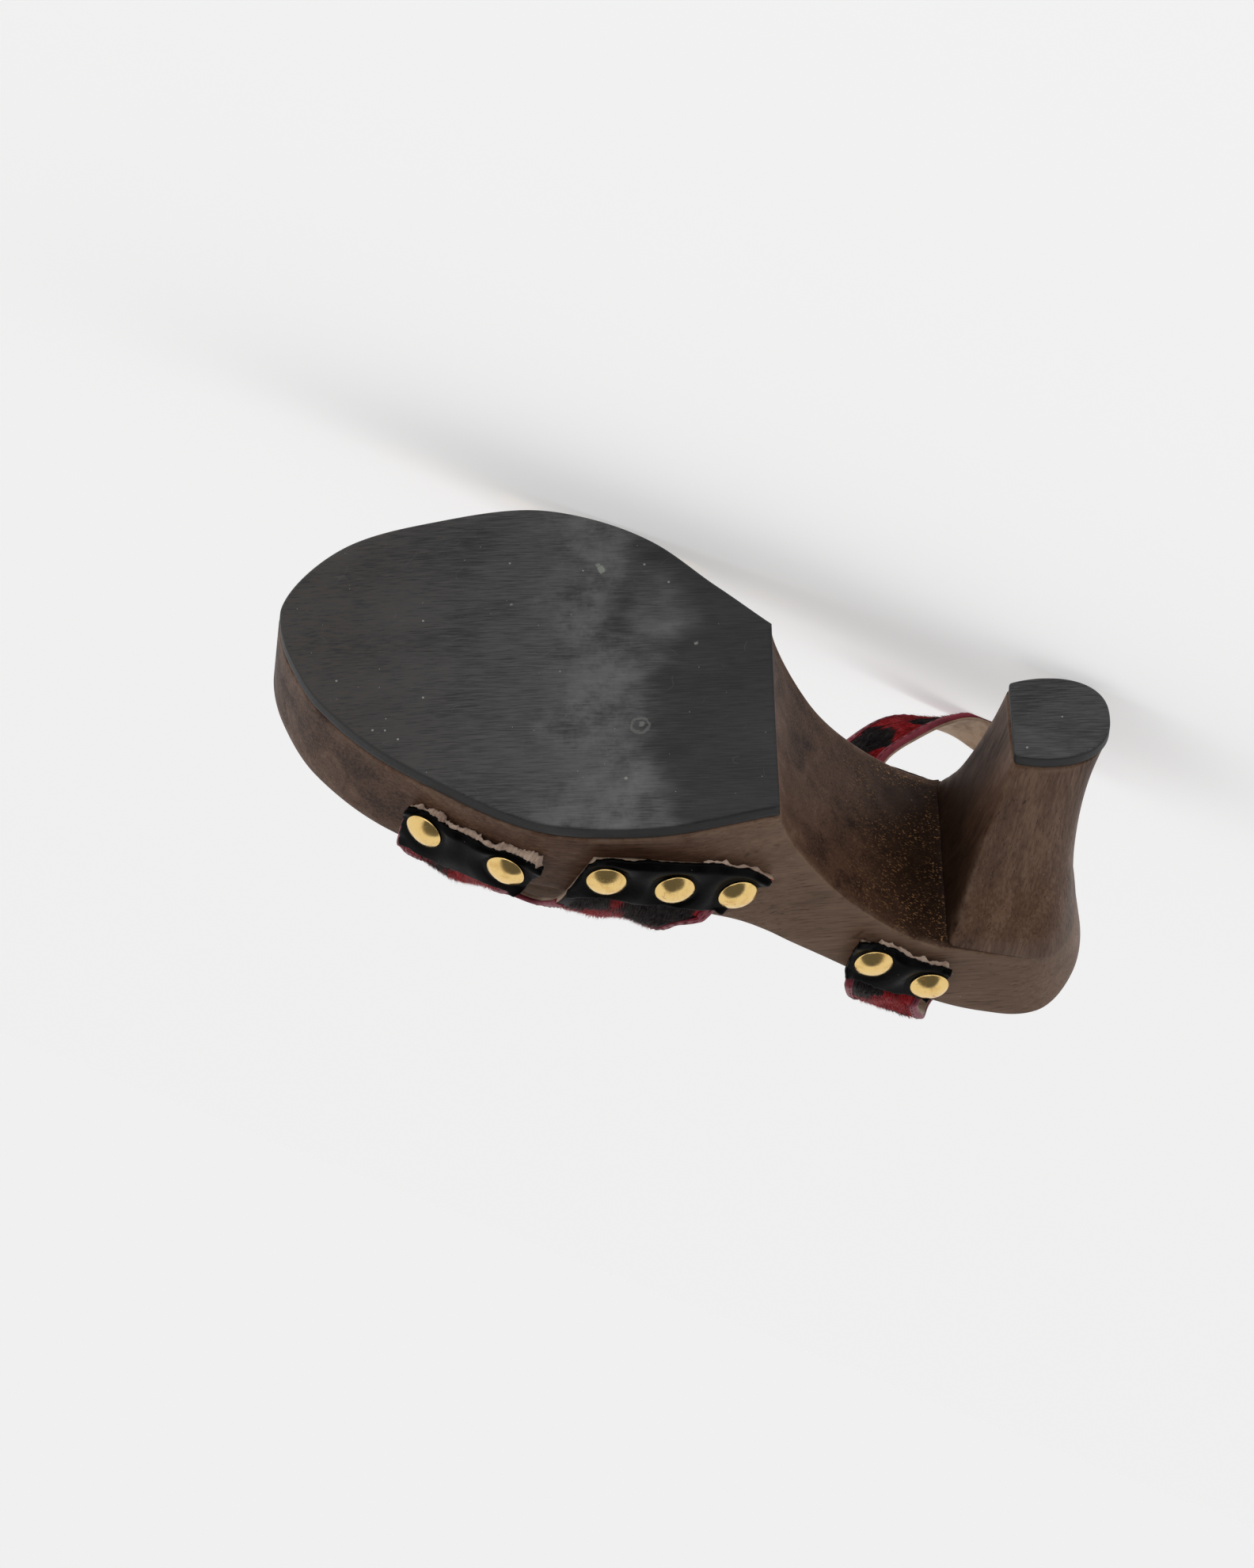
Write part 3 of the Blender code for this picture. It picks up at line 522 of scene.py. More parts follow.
def rubberMark(tree, vector, ragged, forward, inward, outer, inner, amount):
    # a ring, or a spot where the inner radius is below zero, with a ragged border
    inputs = {0: vector, 1: (forward, inward, 0.0)}
    distance = addNode(tree, "ShaderNodeVectorMath", inputs, operation="DISTANCE").outputs["Value"]
    shape = mathNode(tree, "ADD", distance, ragged)
    inside = rangeOf(tree, shape, outer + 0.0003, outer - 0.0001)
    return product(tree, inside, rangeOf(tree, shape, inner - 0.0001, inner + 0.0003), amount)


def rubberMaterial():
    # charcoal rubber, brushed lengthwise, with a painted highlight band over the ball, mottled like dust,
    # painted shade behind it, specks and a few worn marks
    material, tree, shader = newMaterial("wornRubber", {"Specular IOR Level": rubberLook["gloss"]})
    vector = shoeVector(tree)
    brushed = noise(tree, scaled(tree, vector, (130.0, 2300.0, 2300.0)), 1.0, 3.0, 0.7)
    broad = noise(tree, scaled(tree, vector, (26.0, 40.0, 40.0)), 1.0, 3.0, 0.6)
    tone = weightedSum(tree, (brushed, 0.6), (broad, 0.4))
    colour = layOver(tree, rubberLook["dark"], rubberLook["light"], rangeOf(tree, tone, 0.34, 0.66))
    forward = addNode(tree, "ShaderNodeSeparateXYZ", {"Vector": vector}).outputs["X"]
    shifted = weightedSum(tree, (forward,), (broad, 0.06))
    # painted highlight: a pale band over the ball, where the tread bends up towards the toe, mottled like dust
    paintedHighlightBand = product(tree, rangeOf(tree, shifted, 0.118, 0.140), rangeOf(tree, shifted, 0.166, 0.136))
    paintedLight = rangeOf(tree, noise(tree, vector, 90.0, 4.0, 0.7), 0.30, 0.70)
    colour = layOver(tree, colour, rubberLook["dust"], paintedHighlightBand, paintedLight, 0.60)
    # painted shade: darker behind the band, towards the waist
    paintedShadeBehind, beforeHeel = rangeOf(tree, shifted, 0.132, 0.112), rangeOf(tree, shifted, 0.03, 0.05)
    colour = layOver(tree, colour, rubberLook["dark"], paintedShadeBehind, beforeHeel, 0.66)
    toeward, streaks = rangeOf(tree, shifted, 0.150, 0.215), rangeOf(tree, brushed, 0.35, 0.60)
    colour = layOver(tree, colour, rubberLook["toe"], toeward, streaks, 0.75)
    scratch = placeGroup(tree, scratchGroup, {"Vector": vector, "Scale": 75.0, "Width": 0.004})
    colour = layOver(tree, colour, rubberLook["dust"], scratch["Mask"], 0.10)
    for scale, share, amount in ((300.0, 0.10, 0.5), (700.0, 0.05, 0.4)):
        colour = dusted(tree, vector, colour, rubberLook["speck"], scale, 0.10, share, amount)
    ragged = mathNode(tree, "SUBTRACT", product(tree, noise(tree, vector, 620.0, 3.0, 0.75), 0.0022), 0.0011)
    marks = rubberMark(tree, vector, ragged, *rubberMarks[0])
    for mark in rubberMarks[1:]:
        marks = mathNode(tree, "MAXIMUM", marks, rubberMark(tree, vector, ragged, *mark))
    colour = layOver(tree, colour, rubberLook["grey"], marks)
    colour = layOver(tree, colour, rubberLook["side"], mask(tree, "side"), 0.9)
    setSockets(tree, shader, {"Base Color": colour, "Roughness": rangeOf(tree, tone, 0.3, 0.7, 0.46, 0.66),
                              "Normal": bumpOf(tree, brushed, 0.00010, 0.5)})
    return material


hairLook = {
    "red": (0.440, 0.008, 0.014), "deepRed": (0.190, 0.0035, 0.007), "black": (0.0045, 0.0038, 0.0042),
    "sheen": 0.06, "sheenRoughness": 0.4, "sheenTint": (1.0, 0.45, 0.45), "gloss": 0.25,
}


def hairMaterial(name, roughness):
    # short red hair with black spots; the streaks run along the strap, and the spots come from a painted mask
    material, tree, shader = newMaterial(name, {
        "Sheen Weight": hairLook["sheen"], "Sheen Roughness": hairLook["sheenRoughness"],
        "Sheen Tint": hairLook["sheenTint"], "Roughness": roughness, "Specular IOR Level": hairLook["gloss"]})
    strap = addNode(tree, "ShaderNodeUVMap", uv_map="strap").outputs["UV"]
    streaks = noise(tree, scaled(tree, strap, (420.0, 4200.0, 1.0)), 1.0, 3.0, 0.65)
    locks = noise(tree, scaled(tree, strap, (120.0, 520.0, 1.0)), 1.0, 2.0, 0.5)
    tone = weightedSum(tree, (streaks, 0.6), (locks, 0.4))
    red = layOver(tree, hairLook["deepRed"], hairLook["red"], rangeOf(tree, tone, 0.36, 0.60))
    spots = rangeOf(tree, weightedSum(tree, (mask(tree, "spot"),), (streaks, 0.30)), 0.52, 0.78)
    setSockets(tree, shader, {"Base Color": layOver(tree, red, hairLook["black"], spots),
                              "Normal": bumpOf(tree, tone, 0.0004, 0.8)})
    return material


def plainLeather(name, colour, worn, roughness, scale=900.0, depth=0.00008, sheen=0.0, gloss=0.35):
    # dyed leather with grain, a worn tone in soft patches from noise, and small dust
    material, tree, shader = newMaterial(name, {"Sheen Weight": sheen, "Specular IOR Level": gloss})
    vector = shoeVector(tree)
    grain = placeGroup(tree, leatherGroup, {"Vector": vector, "Scale": scale})
    cloud = noise(tree, vector, 160.0, 4.0, 0.65)
    tone = layOver(tree, colour, worn, rangeOf(tree, cloud, 0.40, 0.70))
    tone = dusted(tree, vector, tone, (0.35, 0.33, 0.31), 800.0, 0.09, 0.08, 0.4)
    rough = rangeOf(tree, cloud, 0.3, 0.7, roughness - 0.06, roughness + 0.10)
    setSockets(tree, shader, {"Base Color": tone, "Roughness": rough,
                              "Normal": bumpOf(tree, grain["Height"], depth, 0.6)})
    return material


goldLook = {"bright": (0.87, 0.61, 0.24), "tarnished": (0.74, 0.47, 0.16), "scratch": (0.42, 0.25, 0.09)}


def goldMaterial():
    # polished brass-gold nail heads: fine scuffs in the gloss, and a little tarnish
    material, tree, shader = newMaterial("scuffedGold", {"Metallic": 1.0})
    vector = shoeVector(tree)
    tarnish = noise(tree, vector, 330.0, 3.0, 0.6)
    scratch = placeGroup(tree, scratchGroup, {"Vector": vector, "Scale": 480.0, "Width": 0.012})["Mask"]
    colour = layOver(tree, goldLook["bright"], goldLook["tarnished"], rangeOf(tree, tarnish, 0.45, 0.75))
    colour = layOver(tree, colour, goldLook["scratch"], scratch, 0.5)
    rough = weightedSum(tree, (rangeOf(tree, tarnish, 0.3, 0.7, 0.13, 0.26),), (scratch, 0.2))
    setSockets(tree, shader, {"Base Color": colour, "Roughness": rough,
                              "Normal": bumpOf(tree, noise(tree, vector, 1400.0, 2.0), 0.00003, 0.5)})
    return material


soleWood = woodMaterial("walnutSole", False)
heelWood = woodMaterial("walnutHeel", True)
wornRubber = rubberMaterial()
hairCoat = hairMaterial("redHairCoat", 0.62)
hairStrand = hairMaterial("redHairStrand", 0.50)
tanLining = plainLeather("tanLining", (0.50, 0.355, 0.245), (0.28, 0.180, 0.115), 0.85, 500.0, 0.00014, 0.2)
creamEdge = plainLeather("creamEdge", (0.46, 0.34, 0.25), (0.30, 0.20, 0.14), 0.85, 1200.0, 0.00012)
berryBinding = plainLeather("berryBinding", (0.230, 0.014, 0.034), (0.120, 0.008, 0.019), 0.48, 800.0)
blackPatch = plainLeather("blackPatch", (0.0012, 0.0012, 0.0014), (0.0030, 0.0030, 0.0033), 0.30, 700.0,
                          0.00004, gloss=0.05)
rawSuede = plainLeather("rawSuede", (0.52, 0.385, 0.300), (0.27, 0.17, 0.125), 0.95, 1100.0, 0.0003, 0.3)
redThread = plainLeather("redThread", (0.110, 0.006, 0.010), (0.060, 0.004, 0.006), 0.7, 1500.0)
gold = goldMaterial()
print("materials ready")


# wooden sole: platform, waist and heel seat
solePiece = {
    "seatRows": 70, "archRows": 90, "frontRows": 150, "acrossCount": 24, "rubberAcross": 30, "ends": 1e-8,
    "cupShare": 0.4, "paintedLightFrom": 0.094, "paintedLightFull": 0.068, "hollowShade": 0.93, "liftTread": 0.002,
    "rubberFillet": 0.0007, "rubberInset": 0.0001,
}


def soleStations(count, start, end, power):
    # places from start to end that follow a power of the sine, so that they crowd towards the end
    return start + (end - start) * np.sin(0.5 * math.pi * np.linspace(0.0, 1.0, count)) ** power


def sideColumns(x, low, rim, side):
    # one side of the section, up from the underside: quarter-round edge, drafted wall, quarter-round rim
    small = sole["edgeRound"]
    large = sole["rimRound"]
    turn = np.linspace(0.0, 0.5 * math.pi, 5)
    lowOut = -small * (1.0 - np.sin(turn))
    lowRise = small * (1.0 - np.cos(turn))
    highOut = -large * (1.0 - np.cos(turn))
    highDrop = large * (1.0 - np.sin(turn))
    share = np.linspace(0.0, 1.0, 12)[1:-1]
    wall = (low + small)[:, None] + ((rim - large) - (low + small))[:, None] * share
    heights = np.concatenate([low[:, None] + lowRise, wall, rim[:, None] - highDrop], axis=1)
    outs = np.concatenate([lowOut, np.zeros(len(share)), highOut])
    return wallPoint(x[:, None], heights, side, outs[None, :])


def inwardShares(count):
    return np.linspace(0.0, 1.0, count + 2)[1:-1]


def closedSections(sides, count, topHeights):
    # rings: across the underside, up the inner side, over the top at its own heights, down the outer side
    share = inwardShares(count)[None, :, None]
    outer, inner = sides[lateral], sides[medial]
    under = outer[:, :1] + (inner[:, :1] - outer[:, :1]) * share
    top = inner[:, -1:] + (outer[:, -1:] - inner[:, -1:]) * share
    top[..., 2] = topHeights
    return np.concatenate([outer[:, :1], under, inner, top, outer[:, :0:-1]], axis=1)


def buildWoodSole():
    # sections along x, whose tops dip by a parabola across the footbed
    ends, breast = solePiece["ends"], sole["breastRoot"]
    seat = breast - soleStations(solePiece["seatRows"], 0.0, breast + sole["seatBack"] - ends, 1.0)[:0:-1]
    arch = soleStations(solePiece["archRows"], breast, sole["rubberCut"], 2.0 / sole["archExponent"])[:-1]
    front = soleStations(solePiece["frontRows"], sole["rubberCut"], toeTip - ends, 1.0)
    x = np.concatenate([seat, arch, front])
    low, rim = undersideHeight(x), rimHeight(x)
    sides = {side: sideColumns(x, low, rim, side) for side in (lateral, medial)}
    across = solePiece["acrossCount"]
    width = np.abs(sides[medial][:, -1, 1] - sides[lateral][:, -1, 1])
    cup = sole["footbedCup"] * np.minimum(1.0, width / (solePiece["cupShare"] * sole["ballWidth"]))
    dip = 1.0 - (2.0 * inwardShares(across) - 1.0) ** 2
    grid = closedSections(sides, across, rim[:, None] - cup[:, None] * dip)
    # masks: rubbed edges, painted shade in the hollow of the arch, the arch's end grain, and painted light on
    # the waist's walls
    count = sides[lateral].shape[1]
    plain = np.zeros(across)
    nearEdge = np.zeros(count)
    nearEdge[:7] = (0.6, 0.8, 1.0, 0.9, 0.6, 0.3, 0.1)
    nearEdge[-6:] = (0.2, 0.6, 0.9, 1.0, 0.8, 0.5)
    rub = np.concatenate([[0.6], plain, nearEdge, plain, nearEdge[:0:-1]])
    isUnder = np.concatenate([[0.6], np.ones(across), [0.6, 0.4, 0.2], np.zeros(len(rub) - across - 7),
                              [0.0, 0.2, 0.4]])
    onWall = np.ones(count)
    onWall[:3] = (0.2, 0.5, 0.8)
    onWall[-5:] = (0.9, 0.7, 0.4, 0.1, 0.0)
    onWall = np.concatenate([[0.0], plain, onWall, plain, onWall[:0:-1]])
    # painted shade in the hollow of the arch, strongest near the breast
    deep = smoothStep(0.050, 0.020, x) * smoothStep(0.010, 0.017, x)
    ended = smoothStep(0.050, 0.030, x) * smoothStep(0.012, 0.018, x)
    masks = {
        "rub": np.broadcast_to(rub, grid.shape[:2]),
        "hollow": solePiece["hollowShade"] * deep[:, None] * isUnder,
        "endGrain": ended[:, None] * isUnder,
        "paintedLightMask": smoothStep(solePiece["paintedLightFrom"], solePiece["paintedLightFull"], x)[:, None] * onWall,
    }
    newSolid("woodSole", grid, ("wood_sole",), soleWood, masks)


# turned wooden heel and its rubber piece
heelTable = throughPoints(heelSections, 10)
heelPiece = {
    "rows": 90, "halfCount": 90, "crowding": 1.35, "breastCount": 33, "cornerPasses": 3, "liftPasses": 2,
    "cornerReach": 2.2, "cornerRub": 0.9, "hollowShade": 0.88, "paintedLightShare": 0.25,
}


def heelOutline(height, share):
    # D-shaped section: share runs from the outer corner round the back to the inner corner; the back is a
    # superellipse arc, and the sides close in to the breast's corners with the square of the way
    seatHalf = heelShape["seatShare"] * sole["ballWidth"]
    level = height / breastTop
    columns = [np.interp(level, heelTable[:, 0], heelTable[:, col]) for col in range(1, 6)]
    breast, corner, widest = columns[0] * sole["breastRoot"], columns[1] * seatHalf, columns[2] * seatHalf
    back, shift = -columns[3] * sole["seatBack"], columns[4] * seatHalf
    middle = heelShape["widestBack"] * back
    side = np.where(share > 0.5, 1.0, -1.0)
    along = np.abs(2.0 * share - 1.0)
    front = np.clip((along - heelShape["roundShare"]) / (1.0 - heelShape["roundShare"]), 0.0, 1.0)
    turn = 0.5 * math.pi * np.minimum(along / heelShape["roundShare"], 1.0)
    roundX = middle + (back - middle) * np.maximum(0.0, np.cos(turn)) ** heelShape["backPower"]
    roundY = side * widest * np.sin(turn) ** heelShape["sidePower"]
    straight = along > heelShape["roundShare"]
    x = np.where(straight, middle + front * (breast - middle), roundX)
    y = np.where(straight, side * (widest - (widest - corner) * front**2), roundY)
    return x, y + shift


def heelRing(height, passes):
    # the section at one height, or at a height for each point, closed by its straight breast; its two corners
    # are rounded by a short running mean
    half = np.linspace(0.0, 1.0, heelPiece["halfCount"]) ** heelPiece["crowding"]
    share = np.concatenate([0.5 - 0.5 * half[::-1], 0.5 + 0.5 * half[1:]])
    blend = inwardShares(heelPiece["breastCount"])
    rings = []
    for ring in heelOutline(height[:, :len(share)], share):
        ring = np.concatenate([ring, ring[:, -1:] + (ring[:, :1] - ring[:, -1:]) * blend], axis=1)
        for _ in range(passes):
            ring = 0.5 * ring + 0.25 * (np.roll(ring, 1, axis=1) + np.roll(ring, -1, axis=1))
        rings.append(ring)
    return rings


def buildHeelBlock():
    # rings from the rubber up to the slanted joint, whose height at each point is found in four rounds
    low = sole["rubberThickness"]
    levels = np.linspace(0.0, 1.0, heelPiece["rows"])[:, None]
    ringX, ringY = heelRing(np.full((len(levels), 1), low), heelPiece["cornerPasses"])
    for _ in range(4):
        top = undersideHeight(np.minimum(ringX, sole["breastRoot"])) - sole["seam"]
        height = low + (top - low) * levels
        ringX, ringY = heelRing(height, heelPiece["cornerPasses"])
    cols = ringX.shape[1]
    place = np.arange(cols)
    innerCorner = cols - heelPiece["breastCount"] - 0.5
    away = np.minimum(np.abs(place - innerCorner), np.minimum(place + 0.5, cols - 0.5 - place))
    corners = np.exp(-(away / heelPiece["cornerReach"]) ** 2)
    breast = (place > innerCorner) * 1.0
    masks = {
        "rub": np.maximum(corners * heelPiece["cornerRub"], smoothStep(0.035, 0.0, levels)),
        # painted shade on the breast, stronger higher up, and painted light on the heel's other faces
        "hollow": breast * smoothStep(0.10, 0.90, levels) * heelPiece["hollowShade"],
        "endGrain": np.zeros(ringX.shape),
        "paintedLightMask": np.broadcast_to(heelPiece["paintedLightShare"] * (1.0 - breast), ringX.shape),
    }
    grid = np.stack([ringX, ringY, height], axis=-1)
    newSolid("turnedHeel", grid, ("heel_block",), heelWood, masks)


def slabGrid(ringX, ringY, high, middle, fillet):
    # a flat slab on the ground through one outline: quarter-round lower edge, wall, smaller quarter-round above
    turn = np.linspace(0.0, 0.5 * math.pi, 5)
    inset = np.concatenate([fillet * (1.0 - np.sin(turn)), [0.0, 0.0], 0.4 * fillet * (1.0 - np.cos(turn))])
    wall = fillet + (high - 1.4 * fillet) * np.array([0.35, 0.7])
    rise = np.concatenate([fillet * (1.0 - np.cos(turn)), wall, high - 0.4 * fillet * (1.0 - np.sin(turn))])
    awayX, awayY = ringX - middle, ringY
    size = np.hypot(awayX, awayY)
    x = ringX - inset[:, None] * (awayX / size)
    y = ringY - inset[:, None] * (awayY / size)
    return np.stack([x, y, np.repeat(rise[:, None], len(ringX), axis=1)], axis=-1)


def buildTopLift():
    rings = heelRing(np.array([[solePiece["liftTread"]]]), heelPiece["liftPasses"])
    middle = -heelShape["widestBack"] * sole["seatBack"]
    high = sole["rubberThickness"] - sole["seam"]
    grid = slabGrid(rings[0][0], rings[1][0], high, middle, solePiece["rubberFillet"])
    side = np.zeros(grid.shape[:2])
    side[3:] = 1.0
    newSolid("heelTopLift", grid, ("heel_top_lift",), wornRubber, {"side": side})


def buildOutsole():
    # sections of the rubber sheet: a rounded lower edge, and a small step under the wood
    x = soleStations(solePiece["frontRows"], sole["rubberCut"], toeTip - solePiece["ends"], 1.0)
    low = treadHeight(x)
    turn = np.linspace(0.0, 0.5 * math.pi, 5)
    fillet = solePiece["rubberFillet"]
    rise = np.concatenate([fillet * (1.0 - np.cos(turn)), [0.0018, 0.0028, 0.0038, 0.0041]])
    outs = np.concatenate([-fillet * (1.0 - np.sin(turn)), [0.0, 0.0, 0.0, -0.0003]]) - solePiece["rubberInset"]
    sides = {}
    for side in (lateral, medial):
        sides[side] = wallPoint(x[:, None], low[:, None] + rise, side, outs[None, :])
    across = solePiece["rubberAcross"]
    grid = closedSections(sides, across, low[:, None] + sole["rubberThickness"] - sole["seam"])
    column = np.concatenate([[0.0, 0.0, 0.3, 0.8], np.ones(len(rise) - 4)])
    row = np.concatenate([np.zeros(1 + across), column, np.ones(across), column[:0:-1]])
    masks = {"side": np.broadcast_to(row, grid.shape[:2])}
    newSolid("rubberForepart", grid, ("outsole_forepart",), wornRubber, masks)


buildWoodSole()
buildHeelBlock()
buildTopLift()
buildOutsole()
print("sole, heel and rubber built")


# straps
leather = {
    "thickness": 0.0018, "patchThickness": 0.0012, "patchSeat": 0.0004, "bandWidth": 0.017, "bandRise": 0.017,
    "riseFront": 0.034, "riseBack": 0.047, "exponent": 1.6, "wallShare": 0.26, "vampRows": 230, "vampCols": 96,
    "notchHalf": 0.33, "notchLegs": 0.76, "crease": 0.0007, "snap": 0.0007, "edgeClear": 0.003,
    "bandSteps": (14, 7), "bandStart": 34,
}
hairSizes = {
    "vampCount": 46000, "vampQuick": 16000, "vampLength": 0.0030, "bandCount": 15000, "bandQuick": 5000,
    "bandLength": 0.0028, "radius": 0.00008, "lift": 13.0, "liftSpread": 7.0, "turnSpread": 0.16, "bare": 5,
}
trimSizes = {
    "vampWidth": 0.0032, "notchWidth": 0.0030, "bandWidth": 0.0020, "thick": 0.0005, "threadStep": 0.0030,
    "threadLength": 0.0023, "threadRadius": 0.00024, "threadLift": 0.00052,
}
vampEdges = np.array((
    (0.00, 0.805, 0.322), (0.15, 0.814, 0.391), (0.26, 0.818, 0.418), (0.36, 0.812, 0.452),
    (0.60, 0.785, 0.500), (1.00, 0.735, 0.515),
))
tabEnds = np.array(((0.322, 0.985), (0.557, 0.630), (0.588, 0.455), (0.620, 0.412), (0.805, 0.605)))
notchLine = ((0.571, 0.887), (0.655, -0.294))
bandFolds = (
    (0.157, -0.237, 0.88, (-0.90, -0.15, 0.30), 1.24),
    (0.135, -0.143, 1.22, (-0.88, -0.45, -0.10), 1.06),
    (0.085, -0.027, 1.32, (-0.80, -0.40, -0.45), 1.00),
    (0.020, 0.107, 1.18, (-0.50, -0.40, -0.75), 1.00),
    (-0.040, 0.250, 0.81, (-0.20, -0.40, -0.88), 1.00),
    (-0.070, 0.393, 0.29, (0.10, -0.10, -0.98), 1.00),
    (-0.047, 0.509, -0.08, (0.05, 0.00, -1.00), 1.00),
    (0.002, 0.567, -0.18, (0.00, -0.10, -0.98), 1.00),
    (0.061, 0.586, -0.09, (-0.17, -0.52, -0.80), 0.97),
    (0.117, 0.552, 0.13, (-0.39, -0.70, -0.55), 1.00),
    (0.169, 0.474, 0.43, (-0.47, -0.80, -0.39), 1.00),
    (0.187, 0.375, 0.44, (-0.80, -0.50, 0.05), 1.12),
)
bandSeat = ((0.13, 0.0), (0.40, 0.0), (0.70, 0.0), (0.97, 0.0), (1.25, 0.0012))
patchCorners = {
    "toe": ((0.805, 0.674), (0.813, 0.124), (0.655, 0.021), (0.620, 0.478)),
    "instep": ((0.557, 0.696), (0.597, 0.129), (0.391, 0.270), (0.322, 1.057)),
    "heel": ((0.205, 0.696), (0.223, 0.065), (0.106, 0.166), (0.073, 0.756)),
}
studSpots = {
    "toe": ((0.779, 0.441), (0.670, 0.307)),
    "instep": ((0.542, 0.424), (0.455, 0.482), (0.373, 0.584)),
    "heel": ((0.184, 0.434), (0.106, 0.416)),
}
hairSpots = (
    # forward, inward and height of a spot's middle in the shoe's frame, and its radius, in metres
    (0.1150, -0.0350, 0.0260, 0.0085), (0.0955, -0.0360, 0.0320, 0.0105), (0.0400, -0.0330, 0.0800, 0.0060),
    (0.0320, 0.0560, 0.0905, 0.0075), (0.0120, 0.0620, 0.0880, 0.0060), (0.1560, -0.0050, 0.0520, 0.0110),
    (0.1420, 0.0300, 0.0640, 0.0120), (0.1200, 0.0100, 0.0640, 0.0100), (0.1160, 0.0480, 0.0640, 0.0115),
    (0.1500, 0.0620, 0.0480, 0.0100), (0.1000, -0.0200, 0.0500, 0.0080), (0.1250, 0.0760, 0.0400, 0.0090),
    (0.1080, 0.0300, 0.0740, 0.0085), (0.1350, -0.0200, 0.0480, 0.0090), (0.1580, 0.0420, 0.0560, 0.0075),
    (0.0920, 0.0680, 0.0360, 0.0080), (0.1450, 0.0790, 0.0220, 0.0080), (0.1580, -0.0230, 0.0300, 0.0075),
    (0.0200, -0.0100, 0.1140, 0.0075), (0.0020, 0.0150, 0.1190, 0.0080), (-0.0120, 0.0380, 0.1110, 0.0070),
    (-0.0050, 0.0580, 0.0960, 0.0070), (0.0340, 0.0500, 0.0800, 0.0060), (0.0300, -0.0260, 0.1020, 0.0060),
)


def belowRim(forward, depth):
    # forward and height in metres from a share of the way to the toe and a depth below the rim
    x = np.asarray(forward, float) * toeTip
    return x, rimHeight(x) - np.asarray(depth, float) * sole["forepartHeight"]


def patchSpot(corners, along, across):
    frontLow, frontHigh, backHigh, backLow = [np.array(corner) for corner in corners]
    along, across = np.asarray(along, float)[..., None], np.asarray(across, float)[..., None]
    low = frontLow + (backLow - frontLow) * along
    high = frontHigh + (backHigh - frontHigh) * along
    spot = low + (high - low) * across
    return belowRim(spot[..., 0], spot[..., 1])


def spotMask(points):
    # 1 inside a spot and 0 outside, with a ragged border from noise
    ragged = 0.0022 * wobble(points, 0.011, 5) + 0.0012 * wobble(points, 0.004, 6)
    value = np.zeros(points.shape[:-1])
    for forward, inward, height, radius in hairSpots:
        away = np.linalg.norm(points - np.array((forward, inward, height)), axis=-1) + ragged
        value = np.maximum(value, smoothStep(radius * 1.12, radius * 0.88, away))
    return value


def vampGrid():
    # rows run from the outer tab (-1) over the top (0) to the inner tab (1): each tab lies on the drafted
    # wall, and between the rims the section is a superellipse
    share = np.linspace(-1.0, 1.0, leather["vampRows"])[:, None]
    across = np.linspace(0.0, 1.0, leather["vampCols"])[None, :]
    up = 1.0 - np.abs(share)
    front = np.interp(up, vampEdges[:, 0], vampEdges[:, 1])
    back = np.interp(up, vampEdges[:, 0], vampEdges[:, 2])
    x = toeTip * (front + (back - front) * across)
    rim = rimHeight(x)
    out = sole["seam"] + 0.5 * leather["thickness"]
    wall = leather["wallShare"]
    low = rim - sole["forepartHeight"] * np.interp(x / toeTip, tabEnds[:, 0], tabEnds[:, 1])
    height = low + (rim - low) * np.minimum(up / wall, 1.0)
    onOuter = (share < 0)[..., None]
    tabs = np.where(onOuter, wallPoint(x, height, lateral, out), wallPoint(x, height, medial, out))
    starts = {side: wallPoint(x, rim, side, out) for side in (lateral, medial)}
    start = np.where(onOuter, starts[lateral], starts[medial])
    centreY = 0.5 * (starts[lateral][..., 1] + starts[medial][..., 1])
    rise = leather["riseFront"] + (leather["riseBack"] - leather["riseFront"]) * across
    turn = 0.5 * math.pi * np.clip((up - wall) / (1.0 - wall), 0.0, 1.0)
    power = 2.0 / leather["exponent"]
    width = np.maximum(0.0, np.cos(turn)) ** power
    overY = centreY + (start[..., 1] - centreY) * width
    over = np.stack([x, overY, rim + rise * np.sin(turn) ** power], axis=-1)
    grid = np.where((up < wall)[..., None], tabs, over)
    # worn creases where the forefoot bends
    crease = wobble(grid * np.array((2.2, 0.6, 1.0)), 0.030, 11) * smoothStep(wall, wall + 0.15, up)
    crease = leather["crease"] * crease
    return grid + gridNormals(grid) * crease[..., None]


def notchDistance(points):
    # distance outside the arched notch, whose outline in side view is a bar with a round top
    foot, top = [np.array(belowRim(*spot)) for spot in notchLine]
    foot = foot - (top - foot)
    flat = points[..., [0, 2]]
    way = top - foot
    share = np.clip(((flat - foot) @ way) / (way @ way), 0.0, 1.0)
    away = flat - (foot + share[..., None] * way)
    size = np.linalg.norm(away, axis=-1)
    ways = away / np.maximum(size, 1e-9)[..., None]
    ways = np.stack([ways[..., 0], np.zeros_like(size), ways[..., 1]], axis=-1)
    return size - leather["notchHalf"] * leather["bandWidth"], ways


def strapUv(grid):
    # metres along the rows and along the columns, from the mean spacing of each
    rowStep = np.linalg.norm(np.diff(grid, axis=0), axis=2).mean(axis=1)
    colStep = np.linalg.norm(np.diff(grid, axis=1), axis=2).mean(axis=0)
    along = np.concatenate([[0.0], np.cumsum(rowStep)])
    across = np.concatenate([[0.0], np.cumsum(colStep)])
    return np.stack(np.meshgrid(along, across, indexing="ij"), axis=-1)


